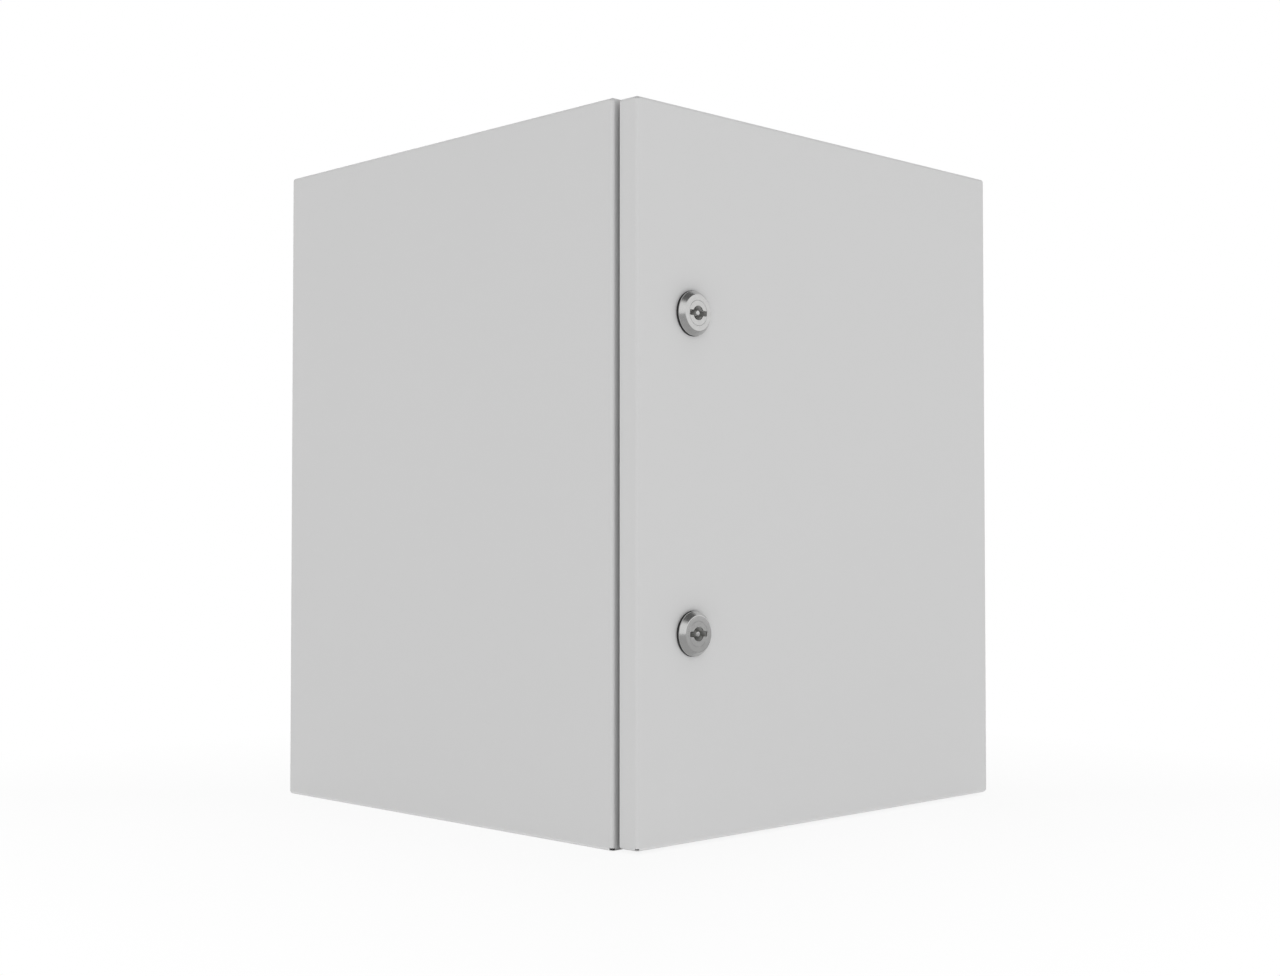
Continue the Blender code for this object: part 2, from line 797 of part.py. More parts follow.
def make_lock_barrel(side, z):
    """The turning core: a double-bit key socket in front, a square tail for the cam behind."""
    head = lock_face_y
    profile = [
        (lock_barrel_radius, 0),
        (lock_barrel_radius, barrel_rear_y - head),
        (lock_shaft_radius, barrel_rear_y - head),
        (lock_shaft_radius, housing_rear_y - head),
    ]
    place = pointing((0, 1, 0), (lock_x, head, z))
    barrel = turned(f"lock_barrel_{side}", profile, place, 24)
    half = lock_square / 2
    square = box(
        f"cam_square_{side}",
        (lock_x - half, housing_rear_y - lock_tail_depth / 2, z - half),
        (lock_x + half, cam_rear_y, z + half),
    )
    join(barrel, square)

    socket = rod(
        f"key_socket_{side}",
        (lock_x, z),
        key_bore_radius,
        head - cut_past,
        head + key_depth,
        "Y",
    )
    half_span = lock_barrel_radius - key_bit_edge
    bits = box(
        f"key_bits_{side}",
        (lock_x - half_span, head - cut_past, z - key_bit_height / 2),
        (lock_x + half_span, head + key_depth - touch_gap, z + key_bit_height / 2),
    )
    pin = rod(
        f"key_pin_{side}",
        (lock_x, z),
        key_pin_radius,
        head + key_pin_recess,
        head + key_depth + key_floor,
        "Y",
        12,
    )
    screw_hole = rod(
        f"cam_screw_hole_{side}",
        (lock_x, z),
        cam_screw_radius + touch_gap,
        cam_screw_tip_y - cam_screw_hole_end,
        cam_rear_y + cut_past,
        "Y",
        12,
    )
    cut(barrel, socket, bits)
    join(barrel, pin)
    cut(barrel, screw_hole)
    return finish(barrel, "satin_chrome", smooth=True)


def make_lock_cam(side, z):
    """A flat lever on the barrel's square. It hangs down at rest, clear of the body's flange."""
    half = cam_width / 2
    outline = [(lock_x + half, z), (lock_x + half, z + half / 2), (lock_x + half / 2, z + half)]
    outline += [(lock_x - half / 2, z + half), (lock_x - half, z + half / 2), (lock_x - half, z)]
    tip = z - cam_reach
    outline += [(lock_x - half, tip + half / 2), (lock_x - half / 2, tip)]
    outline += [(lock_x + half / 2, tip), (lock_x + half, tip + half / 2)]
    cam = prism(f"lock_cam_{side}", outline, cam_front_y, cam_rear_y, "Y")
    hole_half = lock_square / 2 + touch_gap
    hole = box(
        f"cam_hole_{side}",
        (lock_x - hole_half, cam_front_y - cut_past, z - hole_half),
        (lock_x + hole_half, cam_rear_y + cut_past, z + hole_half),
    )
    return finish(cut(cam, hole), "zinc_plate")


def make_lock_cam_screw(side, z):
    start = cam_rear_y + touch_gap
    end = start + cam_screw_head
    screw = prism(f"lock_cam_screw_{side}", hexagon((lock_x, z), cam_screw_flats), start, end, "Y")
    washer = rod(
        f"cam_washer_{side}",
        (lock_x, z),
        lock_square / math.sqrt(2) + cam_washer_overlap,
        start,
        start + nut_flange_thickness,
        "Y",
    )
    shank = rod(
        f"cam_shank_{side}",
        (lock_x, z),
        cam_screw_radius,
        cam_screw_tip_y,
        start + nut_flange_thickness / 2,
        "Y",
        12,
    )
    join(screw, washer, shank)
    return finish(screw, "zinc_plate", smooth=True)


# ---- Earthing
def make_earth_parts():
    nut_start = 2 * nut_flange_thickness
    body_place = (-half_width + earth_body_side_inset, body_front_y + earth_body_behind_front)
    make_stud(
        "earth_stud_body",
        (*body_place, body_sheet + touch_gap),
        (0, 0, 1),
        nut_flange_thickness,
        earth_stud_length - nut_flange_thickness,
        stud_radius,
        stud_collar_radius,
        "copper_plate",
    )
    make_flange_nut(
        "earth_nut_body",
        body_place,
        body_sheet + 2 * touch_gap + nut_start,
        1,
        "Z",
        stud_radius + touch_gap,
        nut_flats,
        nut_thickness,
        nut_flange_radius,
    )
    door_place = (half_width - earth_door_side_inset, earth_door_height)
    make_stud(
        "earth_stud_door",
        (door_place[0], door_inner_y + touch_gap, door_place[1]),
        (0, 1, 0),
        nut_flange_thickness,
        earth_stud_length - nut_flange_thickness,
        stud_radius,
        stud_collar_radius,
        "copper_plate",
    )
    make_flange_nut(
        "earth_nut_door",
        door_place,
        door_inner_y + 2 * touch_gap + nut_start,
        1,
        "Y",
        stud_radius + touch_gap,
        nut_flats,
        nut_thickness,
        nut_flange_radius,
    )


# ---- Assembly
def pivot(name, place, obj_names):
    """An empty on a joint axis that carries the pieces that turn about it."""
    empty = bpy.data.objects.new(name, None)
    empty.location = place
    bpy.context.collection.objects.link(empty)
    bpy.context.view_layer.update()
    for obj_name in obj_names:
        obj = bpy.data.objects[obj_name]
        obj.parent = empty
        obj.matrix_parent_inverse = empty.matrix_world.inverted()
    return empty


def main():
    for obj in list(bpy.data.objects):
        bpy.data.objects.remove(obj, do_unlink=True)

    make_body_shell()
    for index, (x, z) in enumerate(wall_hole_places(), 1):
        make_wall_hole_plug(index, x, z)
    make_mounting_plate()
    make_mounting_fasteners()
    make_gland_parts()

    make_door_panel()
    make_door_gasket()
    make_door_rail("left", -1)
    make_door_rail("right", 1)
    make_earth_parts()

    door_names = ["door_panel", "door_gasket", "door_rail_left", "door_rail_right"]
    door_names += ["earth_stud_door", "earth_nut_door"]
    for side in hinge_heights:
        make_hinge_bracket(side)
        make_hinge_leaf(side)
        make_hinge_pin(side)
        make_hinge_screws(side)
        door_names.append(f"hinge_leaf_{side}")

    turning = {}
    for side, z in lock_heights.items():
        make_lock_housing(side, z)
        make_lock_seal(side, z)
        make_lock_nut(side, z)
        make_lock_barrel(side, z)
        make_lock_cam(side, z)
        make_lock_cam_screw(side, z)
        door_names += [f"lock_housing_{side}", f"lock_seal_{side}", f"lock_nut_{side}"]
        turning[side] = [f"lock_barrel_{side}", f"lock_cam_{side}", f"lock_cam_screw_{side}"]

    door_pivot = pivot("door_pivot", (hinge_x, hinge_y, 0), door_names)
    for side, z in lock_heights.items():
        lock_pivot = pivot(f"lock_pivot_{side}", (lock_x, lock_face_y, z), turning[side])
        lock_pivot.parent = door_pivot
        lock_pivot.matrix_parent_inverse = door_pivot.matrix_world.inverted()


main()
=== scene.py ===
import json
import math

import bmesh
import bpy
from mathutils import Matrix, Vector


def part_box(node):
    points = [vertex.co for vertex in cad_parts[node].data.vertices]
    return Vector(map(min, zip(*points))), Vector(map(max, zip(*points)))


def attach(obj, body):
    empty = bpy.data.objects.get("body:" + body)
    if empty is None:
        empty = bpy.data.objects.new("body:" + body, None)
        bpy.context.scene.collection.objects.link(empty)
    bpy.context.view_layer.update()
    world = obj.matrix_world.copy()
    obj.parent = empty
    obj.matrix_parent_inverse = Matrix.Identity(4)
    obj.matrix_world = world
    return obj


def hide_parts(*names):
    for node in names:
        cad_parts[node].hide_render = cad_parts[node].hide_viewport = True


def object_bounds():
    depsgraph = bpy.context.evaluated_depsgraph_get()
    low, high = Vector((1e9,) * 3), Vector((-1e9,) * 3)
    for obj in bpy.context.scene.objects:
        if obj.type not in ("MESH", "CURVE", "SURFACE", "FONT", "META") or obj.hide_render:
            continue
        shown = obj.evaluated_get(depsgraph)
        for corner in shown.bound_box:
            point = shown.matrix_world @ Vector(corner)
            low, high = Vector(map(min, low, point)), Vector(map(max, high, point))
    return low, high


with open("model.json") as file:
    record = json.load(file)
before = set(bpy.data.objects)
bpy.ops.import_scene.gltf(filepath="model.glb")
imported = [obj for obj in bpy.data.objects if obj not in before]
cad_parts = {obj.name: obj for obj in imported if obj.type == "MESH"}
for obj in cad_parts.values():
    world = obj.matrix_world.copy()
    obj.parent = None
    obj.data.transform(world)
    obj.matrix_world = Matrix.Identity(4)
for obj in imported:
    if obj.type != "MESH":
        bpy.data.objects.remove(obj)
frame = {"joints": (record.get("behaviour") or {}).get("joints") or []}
jointPlaces = {joint["name"]: Vector(joint["pos_m"]) for joint in frame["joints"]}
cadLow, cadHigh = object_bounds()
mm = 0.001
sides = ("lower", "upper")
corners = (1, 2, 3, 4)


def linear(hexColour):
    # sRGB hex to the linear colour that a shader reads
    parts = [int(hexColour[i:i + 2], 16) / 255 for i in (0, 2, 4)]
    return (*[part / 12.92 if part <= 0.04045 else ((part + 0.055) / 1.055) ** 2.4 for part in parts], 1)


def setInputs(tree, node, inputs):
    # an input is a value, a socket, or a node whose first output is taken; a list links several
    for name, value in inputs.items():
        for source in (value if isinstance(value, list) else [value]):
            if isinstance(source, bpy.types.Node):
                source = source.outputs[0]
            if isinstance(source, bpy.types.NodeSocket):
                tree.links.new(source, node.inputs[name])
            else:
                node.inputs[name].default_value = source


def addNode(tree, kind, inputs=None, **settings):
    node = tree.nodes.new(kind)
    for name, value in settings.items():
        setattr(node, name, value)
    setInputs(tree, node, inputs or {})
    return node


def blend(tree, share, first, second, start=0.3, end=0.7):
    # As share goes from start to end, a first value turns into a second: numbers, or colours as
    # hex. Noise hardly leaves 0.3 to 0.7.
    inputs = {"Value": share, "From Min": start, "From Max": end}
    if not isinstance(first, str):
        return addNode(tree, "ShaderNodeMapRange", {**inputs, "To Min": first, "To Max": second})
    factor = addNode(tree, "ShaderNodeMapRange", inputs)
    colours = {"Factor": factor, "A": linear(first), "B": linear(second)}
    return addNode(tree, "ShaderNodeMix", colours, data_type="RGBA").outputs["Result"]


# Materials. Each starts from a plain colour and gloss, and patterns then vary them.

def newMaterial(name, colour, roughness, metallic=0.0):
    material = bpy.data.materials.new(name)
    material.use_nodes = True
    tree = material.node_tree
    shader = tree.nodes["Principled BSDF"]
    setInputs(tree, shader, {"Base Color": linear(colour), "Roughness": roughness, "Metallic": metallic})
    place = addNode(tree, "ShaderNodeTexCoord").outputs["Object"]
    return material, tree, shader, place


def powderCoat():
    # Polyester powder, sprayed on sheet steel and baked: a pale neutral grey with a soft
    # sheen, a fine orange peel of about 2 mm and a faint grain from the powder itself.
    material, tree, shader, place = newMaterial("light_grey_powder_coat", "cacaca", 0.42)
    peel = addNode(tree, "ShaderNodeTexNoise", {"Vector": place, "Scale": 1 / (2.2 * mm), "Detail": 1.5})
    grain = addNode(tree, "ShaderNodeTexNoise", {"Vector": place, "Scale": 1 / (0.5 * mm), "Detail": 1.0})
    cloud = addNode(tree, "ShaderNodeTexNoise", {"Vector": place, "Scale": 1 / (90 * mm), "Detail": 2.0})
    peeled = addNode(tree, "ShaderNodeBump", {"Height": peel, "Distance": 0.03 * mm})
    setInputs(tree, shader, {
        "Base Color": blend(tree, grain, "c8c8c8", "cccccc"),
        "Roughness": blend(tree, cloud, 0.40, 0.44),
        "Normal": addNode(
            tree, "ShaderNodeBump", {"Height": grain, "Distance": 0.006 * mm, "Normal": peeled})})
    return material


def galvanisedSheet():
    # Hot-dip galvanised steel sheet: crystals of about 9 mm, each turned its own way, so
    # that neighbours differ a little in tone and in gloss.
    material, tree, shader, place = newMaterial("galvanised_steel_sheet", "b4b7b9", 0.4, 1.0)
    wander = addNode(tree, "ShaderNodeTexNoise", {"Vector": place, "Scale": 1 / (6 * mm), "Detail": 2.0})
    push = addNode(
        tree, "ShaderNodeVectorMath",
        {0: wander.outputs["Color"], 1: (2.5 * mm,) * 3, 2: place}, operation="MULTIPLY_ADD")
    crystals = addNode(tree, "ShaderNodeTexVoronoi", {"Vector": push, "Scale": 1 / (9 * mm)})
    tone = addNode(tree, "ShaderNodeSeparateXYZ", {0: crystals.outputs["Color"]}).outputs
    fine = addNode(tree, "ShaderNodeTexNoise", {"Vector": place, "Scale": 1 / (0.7 * mm), "Detail": 3.0})
    setInputs(tree, shader, {
        "Base Color": blend(tree, tone["X"], "acb0b2", "bfc2c4", 0, 1),
        "Roughness": blend(tree, tone["Y"], 0.36, 0.46, 0, 1),
        "Normal": addNode(tree, "ShaderNodeBump", {"Height": fine, "Distance": 0.004 * mm})})
    return material


def zincPlate():
    # Electroplated zinc with a clear blue passivate: bright, slightly cold, with faint
    # yellow and blue clouds of a few millimetres.
    material, tree, shader, place = newMaterial("blue_passivated_zinc_plate", "c2c6c9", 0.3, 1.0)
    clouds = addNode(tree, "ShaderNodeTexNoise", {"Vector": place, "Scale": 1 / (5 * mm), "Detail": 3.0})
    fine = addNode(tree, "ShaderNodeTexNoise", {"Vector": place, "Scale": 1 / (0.4 * mm), "Detail": 2.0})
    setInputs(tree, shader, {
        "Base Color": blend(tree, clouds, "b3bac2", "cdccc4"),
        "Roughness": blend(tree, fine, 0.24, 0.38),
        "Normal": addNode(tree, "ShaderNodeBump", {"Height": fine, "Distance": 0.003 * mm})})
    return material


def satinNickel(name="satin_nickel_on_die_cast_zinc", socket=None):
    # Zinc die casting with satin nickel: turned smooth, with a fine grain that softens what it
    # mirrors. Given a socket, the metal inside the key socket turns to a dull, unmetallic grey: painted shade
    # in the recess.
    material, tree, shader, place = newMaterial(name, "c9c9c8", 0.22, 1.0)
    grain = addNode(tree, "ShaderNodeTexNoise", {"Vector": place, "Scale": 1 / (0.35 * mm), "Detail": 2.0})
    clouds = addNode(tree, "ShaderNodeTexNoise", {"Vector": place, "Scale": 1 / (4 * mm), "Detail": 2.0})
    colour = blend(tree, clouds, "c6c6c5", "cbcbca")
    roughness = blend(tree, grain, 0.18, 0.26)
    # painted shade: past the socket's mouth the plated metal gives way to a dull grey, not metal
    if socket:
        front, rear = socket
        depth = addNode(tree, "ShaderNodeSeparateXYZ", {0: place}).outputs["Y"]
        entered = blend(tree, depth, 0, 1, front + 0.6 * mm, front + 1.2 * mm)
        left = blend(tree, depth, 1, 0, rear, rear + 0.5 * mm)
        inside = addNode(tree, "ShaderNodeMath", {0: entered, 1: left}, operation="MULTIPLY")
        colours = {"Factor": inside, "A": colour, "B": linear("adadab")}
        colour = addNode(tree, "ShaderNodeMix", colours, data_type="RGBA").outputs["Result"]
        roughness = blend(tree, inside, roughness, 0.6, 0, 1)
        setInputs(tree, shader, {"Metallic": blend(tree, inside, 1, 0, 0, 1)})
    setInputs(tree, shader, {
        "Base Color": colour,
        "Roughness": roughness,
        "Normal": addNode(tree, "ShaderNodeBump", {"Height": grain, "Distance": 0.004 * mm})})
    return material


def copperPlate():
    # Copper flash on a steel weld stud: warm, half dulled by handling.
    material, tree, shader, place = newMaterial("copper_plated_steel", "c98562", 0.34, 1.0)
    tarnish = addNode(tree, "ShaderNodeTexNoise", {"Vector": place, "Scale": 1 / (2.5 * mm), "Detail": 3.0})
    setInputs(tree, shader, {
        "Base Color": blend(tree, tarnish, "a8694a", "d6946f"),
        "Roughness": blend(tree, tarnish, 0.46, 0.28)})
    return material


def foamSeal():
    # Polyurethane foamed in place: a dull dark grey skin with open cells of about 0.8 mm.
    material, tree, shader, place = newMaterial("polyurethane_foam", "45464a", 0.92)
    cells = addNode(tree, "ShaderNodeTexVoronoi", {"Vector": place, "Scale": 1 / (0.8 * mm)})
    soft = addNode(tree, "ShaderNodeTexNoise", {"Vector": place, "Scale": 1 / (6 * mm), "Detail": 2.0})
    setInputs(tree, shader, {
        "Base Color": blend(tree, soft, "3e3f43", "4d4e52"),
        "Specular IOR Level": 0.25,
        "Normal": addNode(
            tree, "ShaderNodeBump", {"Height": cells.outputs["Distance"], "Distance": 0.12 * mm})})
    return material


def mouldedRubber():
    # Nitrile rubber, moulded: near black, matt, with a very fine bloom.
    material, tree, shader, place = newMaterial("moulded_black_rubber", "1b1b1c", 0.62)
    bloom = addNode(tree, "ShaderNodeTexNoise", {"Vector": place, "Scale": 1 / (1.2 * mm), "Detail": 3.0})
    setInputs(tree, shader, {
        "Base Color": blend(tree, bloom, "171718", "222223"),
        "Normal": addNode(tree, "ShaderNodeBump", {"Height": bloom, "Distance": 0.01 * mm})})
    return material


def mouldedNylon():
    # Black polyamide, injection moulded against a spark-eroded tool: a satin black grain.
    material, tree, shader, place = newMaterial("moulded_black_nylon", "202021", 0.45)
    grain = addNode(tree, "ShaderNodeTexNoise", {"Vector": place, "Scale": 1 / (0.5 * mm), "Detail": 2.0})
    setInputs(tree, shader, {
        "Base Color": blend(tree, grain, "1c1c1d", "262627"),
        "Roughness": blend(tree, grain, 0.4, 0.52),
        "Normal": addNode(tree, "ShaderNodeBump", {"Height": grain, "Distance": 0.012 * mm})})
    return material


finishes = {
    "powder_coat": powderCoat(),
    "galvanised_sheet": galvanisedSheet(),
    "zinc_plated_steel": zincPlate(),
    "nickel_plated_zinc": satinNickel(),
    "copper_plated_steel": copperPlate(),
    "foam_seal": foamSeal(),
    "black_rubber": mouldedRubber(),
    "black_plastic": mouldedNylon(),
}
print("materials made:", len(finishes))


# Shaping

def meshObject(name, bm):
    bmesh.ops.recalc_face_normals(bm, faces=bm.faces)
    mesh = bpy.data.meshes.new(name)
    bm.to_mesh(mesh)
    bm.free()
    obj = bpy.data.objects.new(name, mesh)
    bpy.context.scene.collection.objects.link(obj)
    return obj


def settle(obj):
    # what the modifiers make becomes the object's own mesh
    graph = bpy.context.evaluated_depsgraph_get()
    made = bpy.data.meshes.new_from_object(obj.evaluated_get(graph), depsgraph=graph)
    obj.modifiers.clear()
    obj.data = made
    return obj


def boolean(obj, operation, *others):
    for other in others:
        modifier = obj.modifiers.new(operation, "BOOLEAN")
        modifier.operation = operation
        modifier.solver = "EXACT"
        modifier.object = other
    settle(obj)
    for other in others:
        bpy.data.objects.remove(other)


def softenEdges(obj, width):
    bevel = obj.modifiers.new("soft edges", "BEVEL")
    bevel.width = width
    bevel.segments = 2
    bevel.limit_method = "ANGLE"
    bevel.angle_limit = math.radians(40)
    settle(obj)


def loft(name, rings, closed=False):
    # skins rings of equal count; closed joins the last to the first, otherwise both ends are capped
    bm = bmesh.new()
    loops = [[bm.verts.new(point) for point in ring] for ring in rings]
    nextLoops = loops[1:] + loops[:1] if closed else loops[1:]
    for lower, upper in zip(loops, nextLoops):
        for i in range(len(lower)):
            j = (i + 1) % len(lower)
            bm.faces.new((lower[i], lower[j], upper[j], upper[i]))
    if not closed:
        bm.faces.new(loops[0])
        bm.faces.new(loops[-1])
    bmesh.ops.remove_doubles(bm, verts=bm.verts, dist=1e-7)
    return meshObject(name, bm)


def roundedOutline(halfA, halfB, radius, steps=6, centre=(0, 0)):
    points = []
    for corner, (signA, signB) in enumerate(((1, 1), (-1, 1), (-1, -1), (1, -1))):
        for step in range(steps + 1):
            angle = math.radians(90 * (corner + step / steps))
            points.append((
                centre[0] + signA * (halfA - radius) + radius * math.cos(angle),
                centre[1] + signB * (halfB - radius) + radius * math.sin(angle)))
    return points


def circle(centre, radius, steps=48):
    angles = [math.tau * step / steps for step in range(steps)]
    return [(centre[0] + radius * math.cos(a), centre[1] + radius * math.sin(a)) for a in angles]


def lifted(outline, level, axis):
    # an outline's two numbers with the third one added, along Y or along Z
    return [(a, level, b) if axis == "Y" else (a, b, level) for a, b in outline]


def slab(name, outline, start, end, axis="Y"):
    return loft(name, [lifted(outline, start, axis), lifted(outline, end, axis)])


def spun(arrow, angle):
    return Vector((
        arrow.x * math.cos(angle) - arrow.y * math.sin(angle),
        arrow.x * math.sin(angle) + arrow.y * math.cos(angle)))


def folded(path, bendInside, thickness, rawEdge=0.0):
    # The outline of a folded strip: path is the line along its middle, with sharp corners.
    # It runs along one side to the end, then back along the other.
    points = [Vector(point) for point in path]
    line = [(points[0], (points[1] - points[0]).normalized())]
    middle = bendInside + thickness / 2
    steps = 6
    for before, at, after in zip(points, points[1:], points[2:]):
        comes = (at - before).normalized()
        goes = (after - at).normalized()
        turn = math.atan2(comes.x * goes.y - comes.y * goes.x, comes.dot(goes))  # left is positive
        reach = middle * math.tan(abs(turn) / 2)
        inward = spun(comes, math.copysign(math.pi / 2, turn))
        hub = at - comes * reach + inward * middle
        for step in range(steps + 1):
            angle = turn * step / steps
            line.append((hub + spun(-inward * middle, angle), spun(comes, angle)))
    line.append((points[-1], (points[-1] - points[-2]).normalized()))
    half = thickness / 2
    left = [spot + spun(way, math.pi / 2) * half for spot, way in line]
    right = [spot - spun(way, math.pi / 2) * half for spot, way in line]
    if rawEdge:
        end, way = line[-1]
        across = spun(way, math.pi / 2)
        left[-1:] = [end - way * rawEdge + across * half, end + across * (half - rawEdge)]
        right[-1:] = [end - way * rawEdge - across * half, end - across * (half - rawEdge)]
    return [tuple(point) for point in left + right[::-1]]


def turned(name, profile, start, direction, steps, bored=False):
    # turns a profile of (radius, depth) about a line from start; a bored profile closes on itself
    way = Vector(direction)
    across = way.orthogonal().normalized()
    third = way.cross(across)
    spokes = [
        across * math.cos(math.tau * step / steps) + third * math.sin(math.tau * step / steps)
        for step in range(steps)]
    rings = [[Vector(start) + way * depth + spoke * radius for spoke in spokes] for radius, depth in profile]
    return loft(name, rings, closed=bored)


def middleOf(node):
    low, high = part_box(node)
    return (low + high) / 2


def finishPiece(obj, bodyName, slotName, *replaced, angle=32, finish=None):
    # shading and material once the shape is final; then the piece goes under its body's empty and the parts
    # it replaces are hidden
    obj.data.materials.clear()
    obj.data.materials.append(finish or finishes[slotName])
    obj.data.shade_smooth()
    obj.data.set_sharp_from_angle(angle=math.radians(angle))
    weighted = obj.modifiers.new("flat faces stay flat", "WEIGHTED_NORMAL")
    weighted.keep_sharp = True
    settle(obj)
    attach(obj, bodyName)
    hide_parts(*replaced)


# Geometry node trees

def newTree(name, **sockets):
    # a tree with named inputs; gives the tree and its input sockets by name
    tree = bpy.data.node_groups.new(name, "GeometryNodeTree")
    tree.interface.new_socket("Geometry", in_out="INPUT", socket_type="NodeSocketGeometry")
    for socketName, kind in {**sockets, "finish": "Material"}.items():
        tree.interface.new_socket(socketName, in_out="INPUT", socket_type=f"NodeSocket{kind}")
    tree.interface.new_socket("Geometry", in_out="OUTPUT", socket_type="NodeSocketGeometry")
    return tree, addNode(tree, "NodeGroupInput").outputs


def endTree(tree, given, geometry):
    # every tree ends in real geometry with its material on it
    real = addNode(tree, "GeometryNodeRealizeInstances", {"Geometry": geometry})
    painted = addNode(tree, "GeometryNodeSetMaterial", {"Geometry": real, "Material": given["finish"]})
    addNode(tree, "NodeGroupOutput", {0: painted})
    return tree


def applyTree(obj, tree, slotName, **values):
    # runs a tree on an object, its inputs set by identifier, and keeps the result as a plain mesh
    modifier = obj.modifiers.new(tree.name, "NODES")
    modifier.node_group = tree
    values["finish"] = finishes[slotName]
    for item in tree.interface.items_tree:
        if item.name in values:
            modifier[item.identifier] = values[item.name]
    settle(obj)


def grown(name, tree, points, edges=(), slotName="zinc_plated_steel", **values):
    # what a tree makes of a mesh of points or lines
    mesh = bpy.data.meshes.new(name)
    mesh.from_pydata([tuple(point) for point in points], list(edges), [])
    obj = bpy.data.objects.new(name, mesh)
    bpy.context.scene.collection.objects.link(obj)
    applyTree(obj, tree, slotName, **values)
    return obj


def raised(tree, part, height):
    upwards = addNode(tree, "ShaderNodeCombineXYZ", {"Z": height})
    return addNode(tree, "GeometryNodeTransform", {"Geometry": part, "Translation": upwards})


def woundThread(tree, radius, length, pitch, ridge, steps):
    # a ridge of four sides, swept along a helix that stands on Z
    rounds = addNode(tree, "ShaderNodeMath", {0: length, 1: pitch}, operation="DIVIDE")
    helix = addNode(
        tree, "GeometryNodeCurveSpiral",
        {"Resolution": steps, "Rotations": rounds, "Start Radius": radius, "End Radius": radius,
         "Height": length})
    wire = addNode(tree, "GeometryNodeCurvePrimitiveCircle", {"Resolution": 4, "Radius": ridge})
    return addNode(
        tree, "GeometryNodeCurveToMesh", {"Curve": helix, "Profile Curve": wire, "Fill Caps": True})


def sweepTree():
    # a profile line swept round a rectangle with round corners
    tree, given = newTree(
        "swept seal", width="Float", height="Float", corner="Float", place="Vector", turn="Rotation")
    profile = addNode(tree, "GeometryNodeMeshToCurve", {"Mesh": given["Geometry"]})
    path = addNode(
        tree, "GeometryNodeCurvePrimitiveQuadrilateral", {"Width": given["width"], "Height": given["height"]})
    rounded = addNode(
        tree, "GeometryNodeFilletCurve", {"Curve": path, "Radius": given["corner"], "Count": 12}, mode="POLY")
    swept = addNode(tree, "GeometryNodeCurveToMesh", {"Curve": rounded, "Profile Curve": profile})
    placed = addNode(
        tree, "GeometryNodeTransform",
        {"Geometry": swept, "Translation": given["place"], "Rotation": given["turn"]})
    return endTree(tree, given, placed)


def studTree():
    # Threaded studs on points: a collar, a core, the thread wound round it and a bevelled tip.
    # Each stands along +Z from its point before it is turned.
    tree, given = newTree(
        "threaded studs", radius="Float", collarRadius="Float", collar="Float", length="Float",
        pitch="Float", turn="Rotation")
    ridge = addNode(tree, "ShaderNodeMath", {0: given["pitch"], 1: 0.5}, operation="MULTIPLY")
    coreRadius = addNode(tree, "ShaderNodeMath", {0: given["radius"], 1: ridge}, operation="SUBTRACT")
    tipRadius = addNode(tree, "ShaderNodeMath", {0: coreRadius, 1: ridge}, operation="SUBTRACT")
    run = addNode(tree, "ShaderNodeMath", {0: given["length"], 1: given["pitch"]}, operation="SUBTRACT")
    collarMiddle = addNode(tree, "ShaderNodeMath", {0: given["collar"], 1: 0.5}, operation="MULTIPLY")
    coreMiddle = addNode(
        tree, "ShaderNodeMath", {0: run, 1: 0.5, 2: given["collar"]}, operation="MULTIPLY_ADD")
    tipFoot = addNode(tree, "ShaderNodeMath", {0: given["collar"], 1: run}, operation="ADD")
    collar = addNode(
        tree, "GeometryNodeMeshCylinder",
        {"Vertices": 40, "Radius": given["collarRadius"], "Depth": given["collar"]})
    core = addNode(tree, "GeometryNodeMeshCylinder", {"Vertices": 32, "Radius": coreRadius, "Depth": run})
    tip = addNode(
        tree, "GeometryNodeMeshCone",
        {"Vertices": 32, "Radius Bottom": coreRadius, "Radius Top": tipRadius, "Depth": given["pitch"]})
    thread = woundThread(tree, coreRadius, run, given["pitch"], ridge, 28)
    stud = addNode(tree, "GeometryNodeJoinGeometry", {"Geometry": [
        raised(tree, collar, collarMiddle), raised(tree, core, coreMiddle),
        raised(tree, tip, tipFoot), raised(tree, thread, given["collar"])]})
    copies = addNode(
        tree, "GeometryNodeInstanceOnPoints",
        {"Points": given["Geometry"], "Instance": stud, "Rotation": given["turn"]})
    return endTree(tree, given, copies)


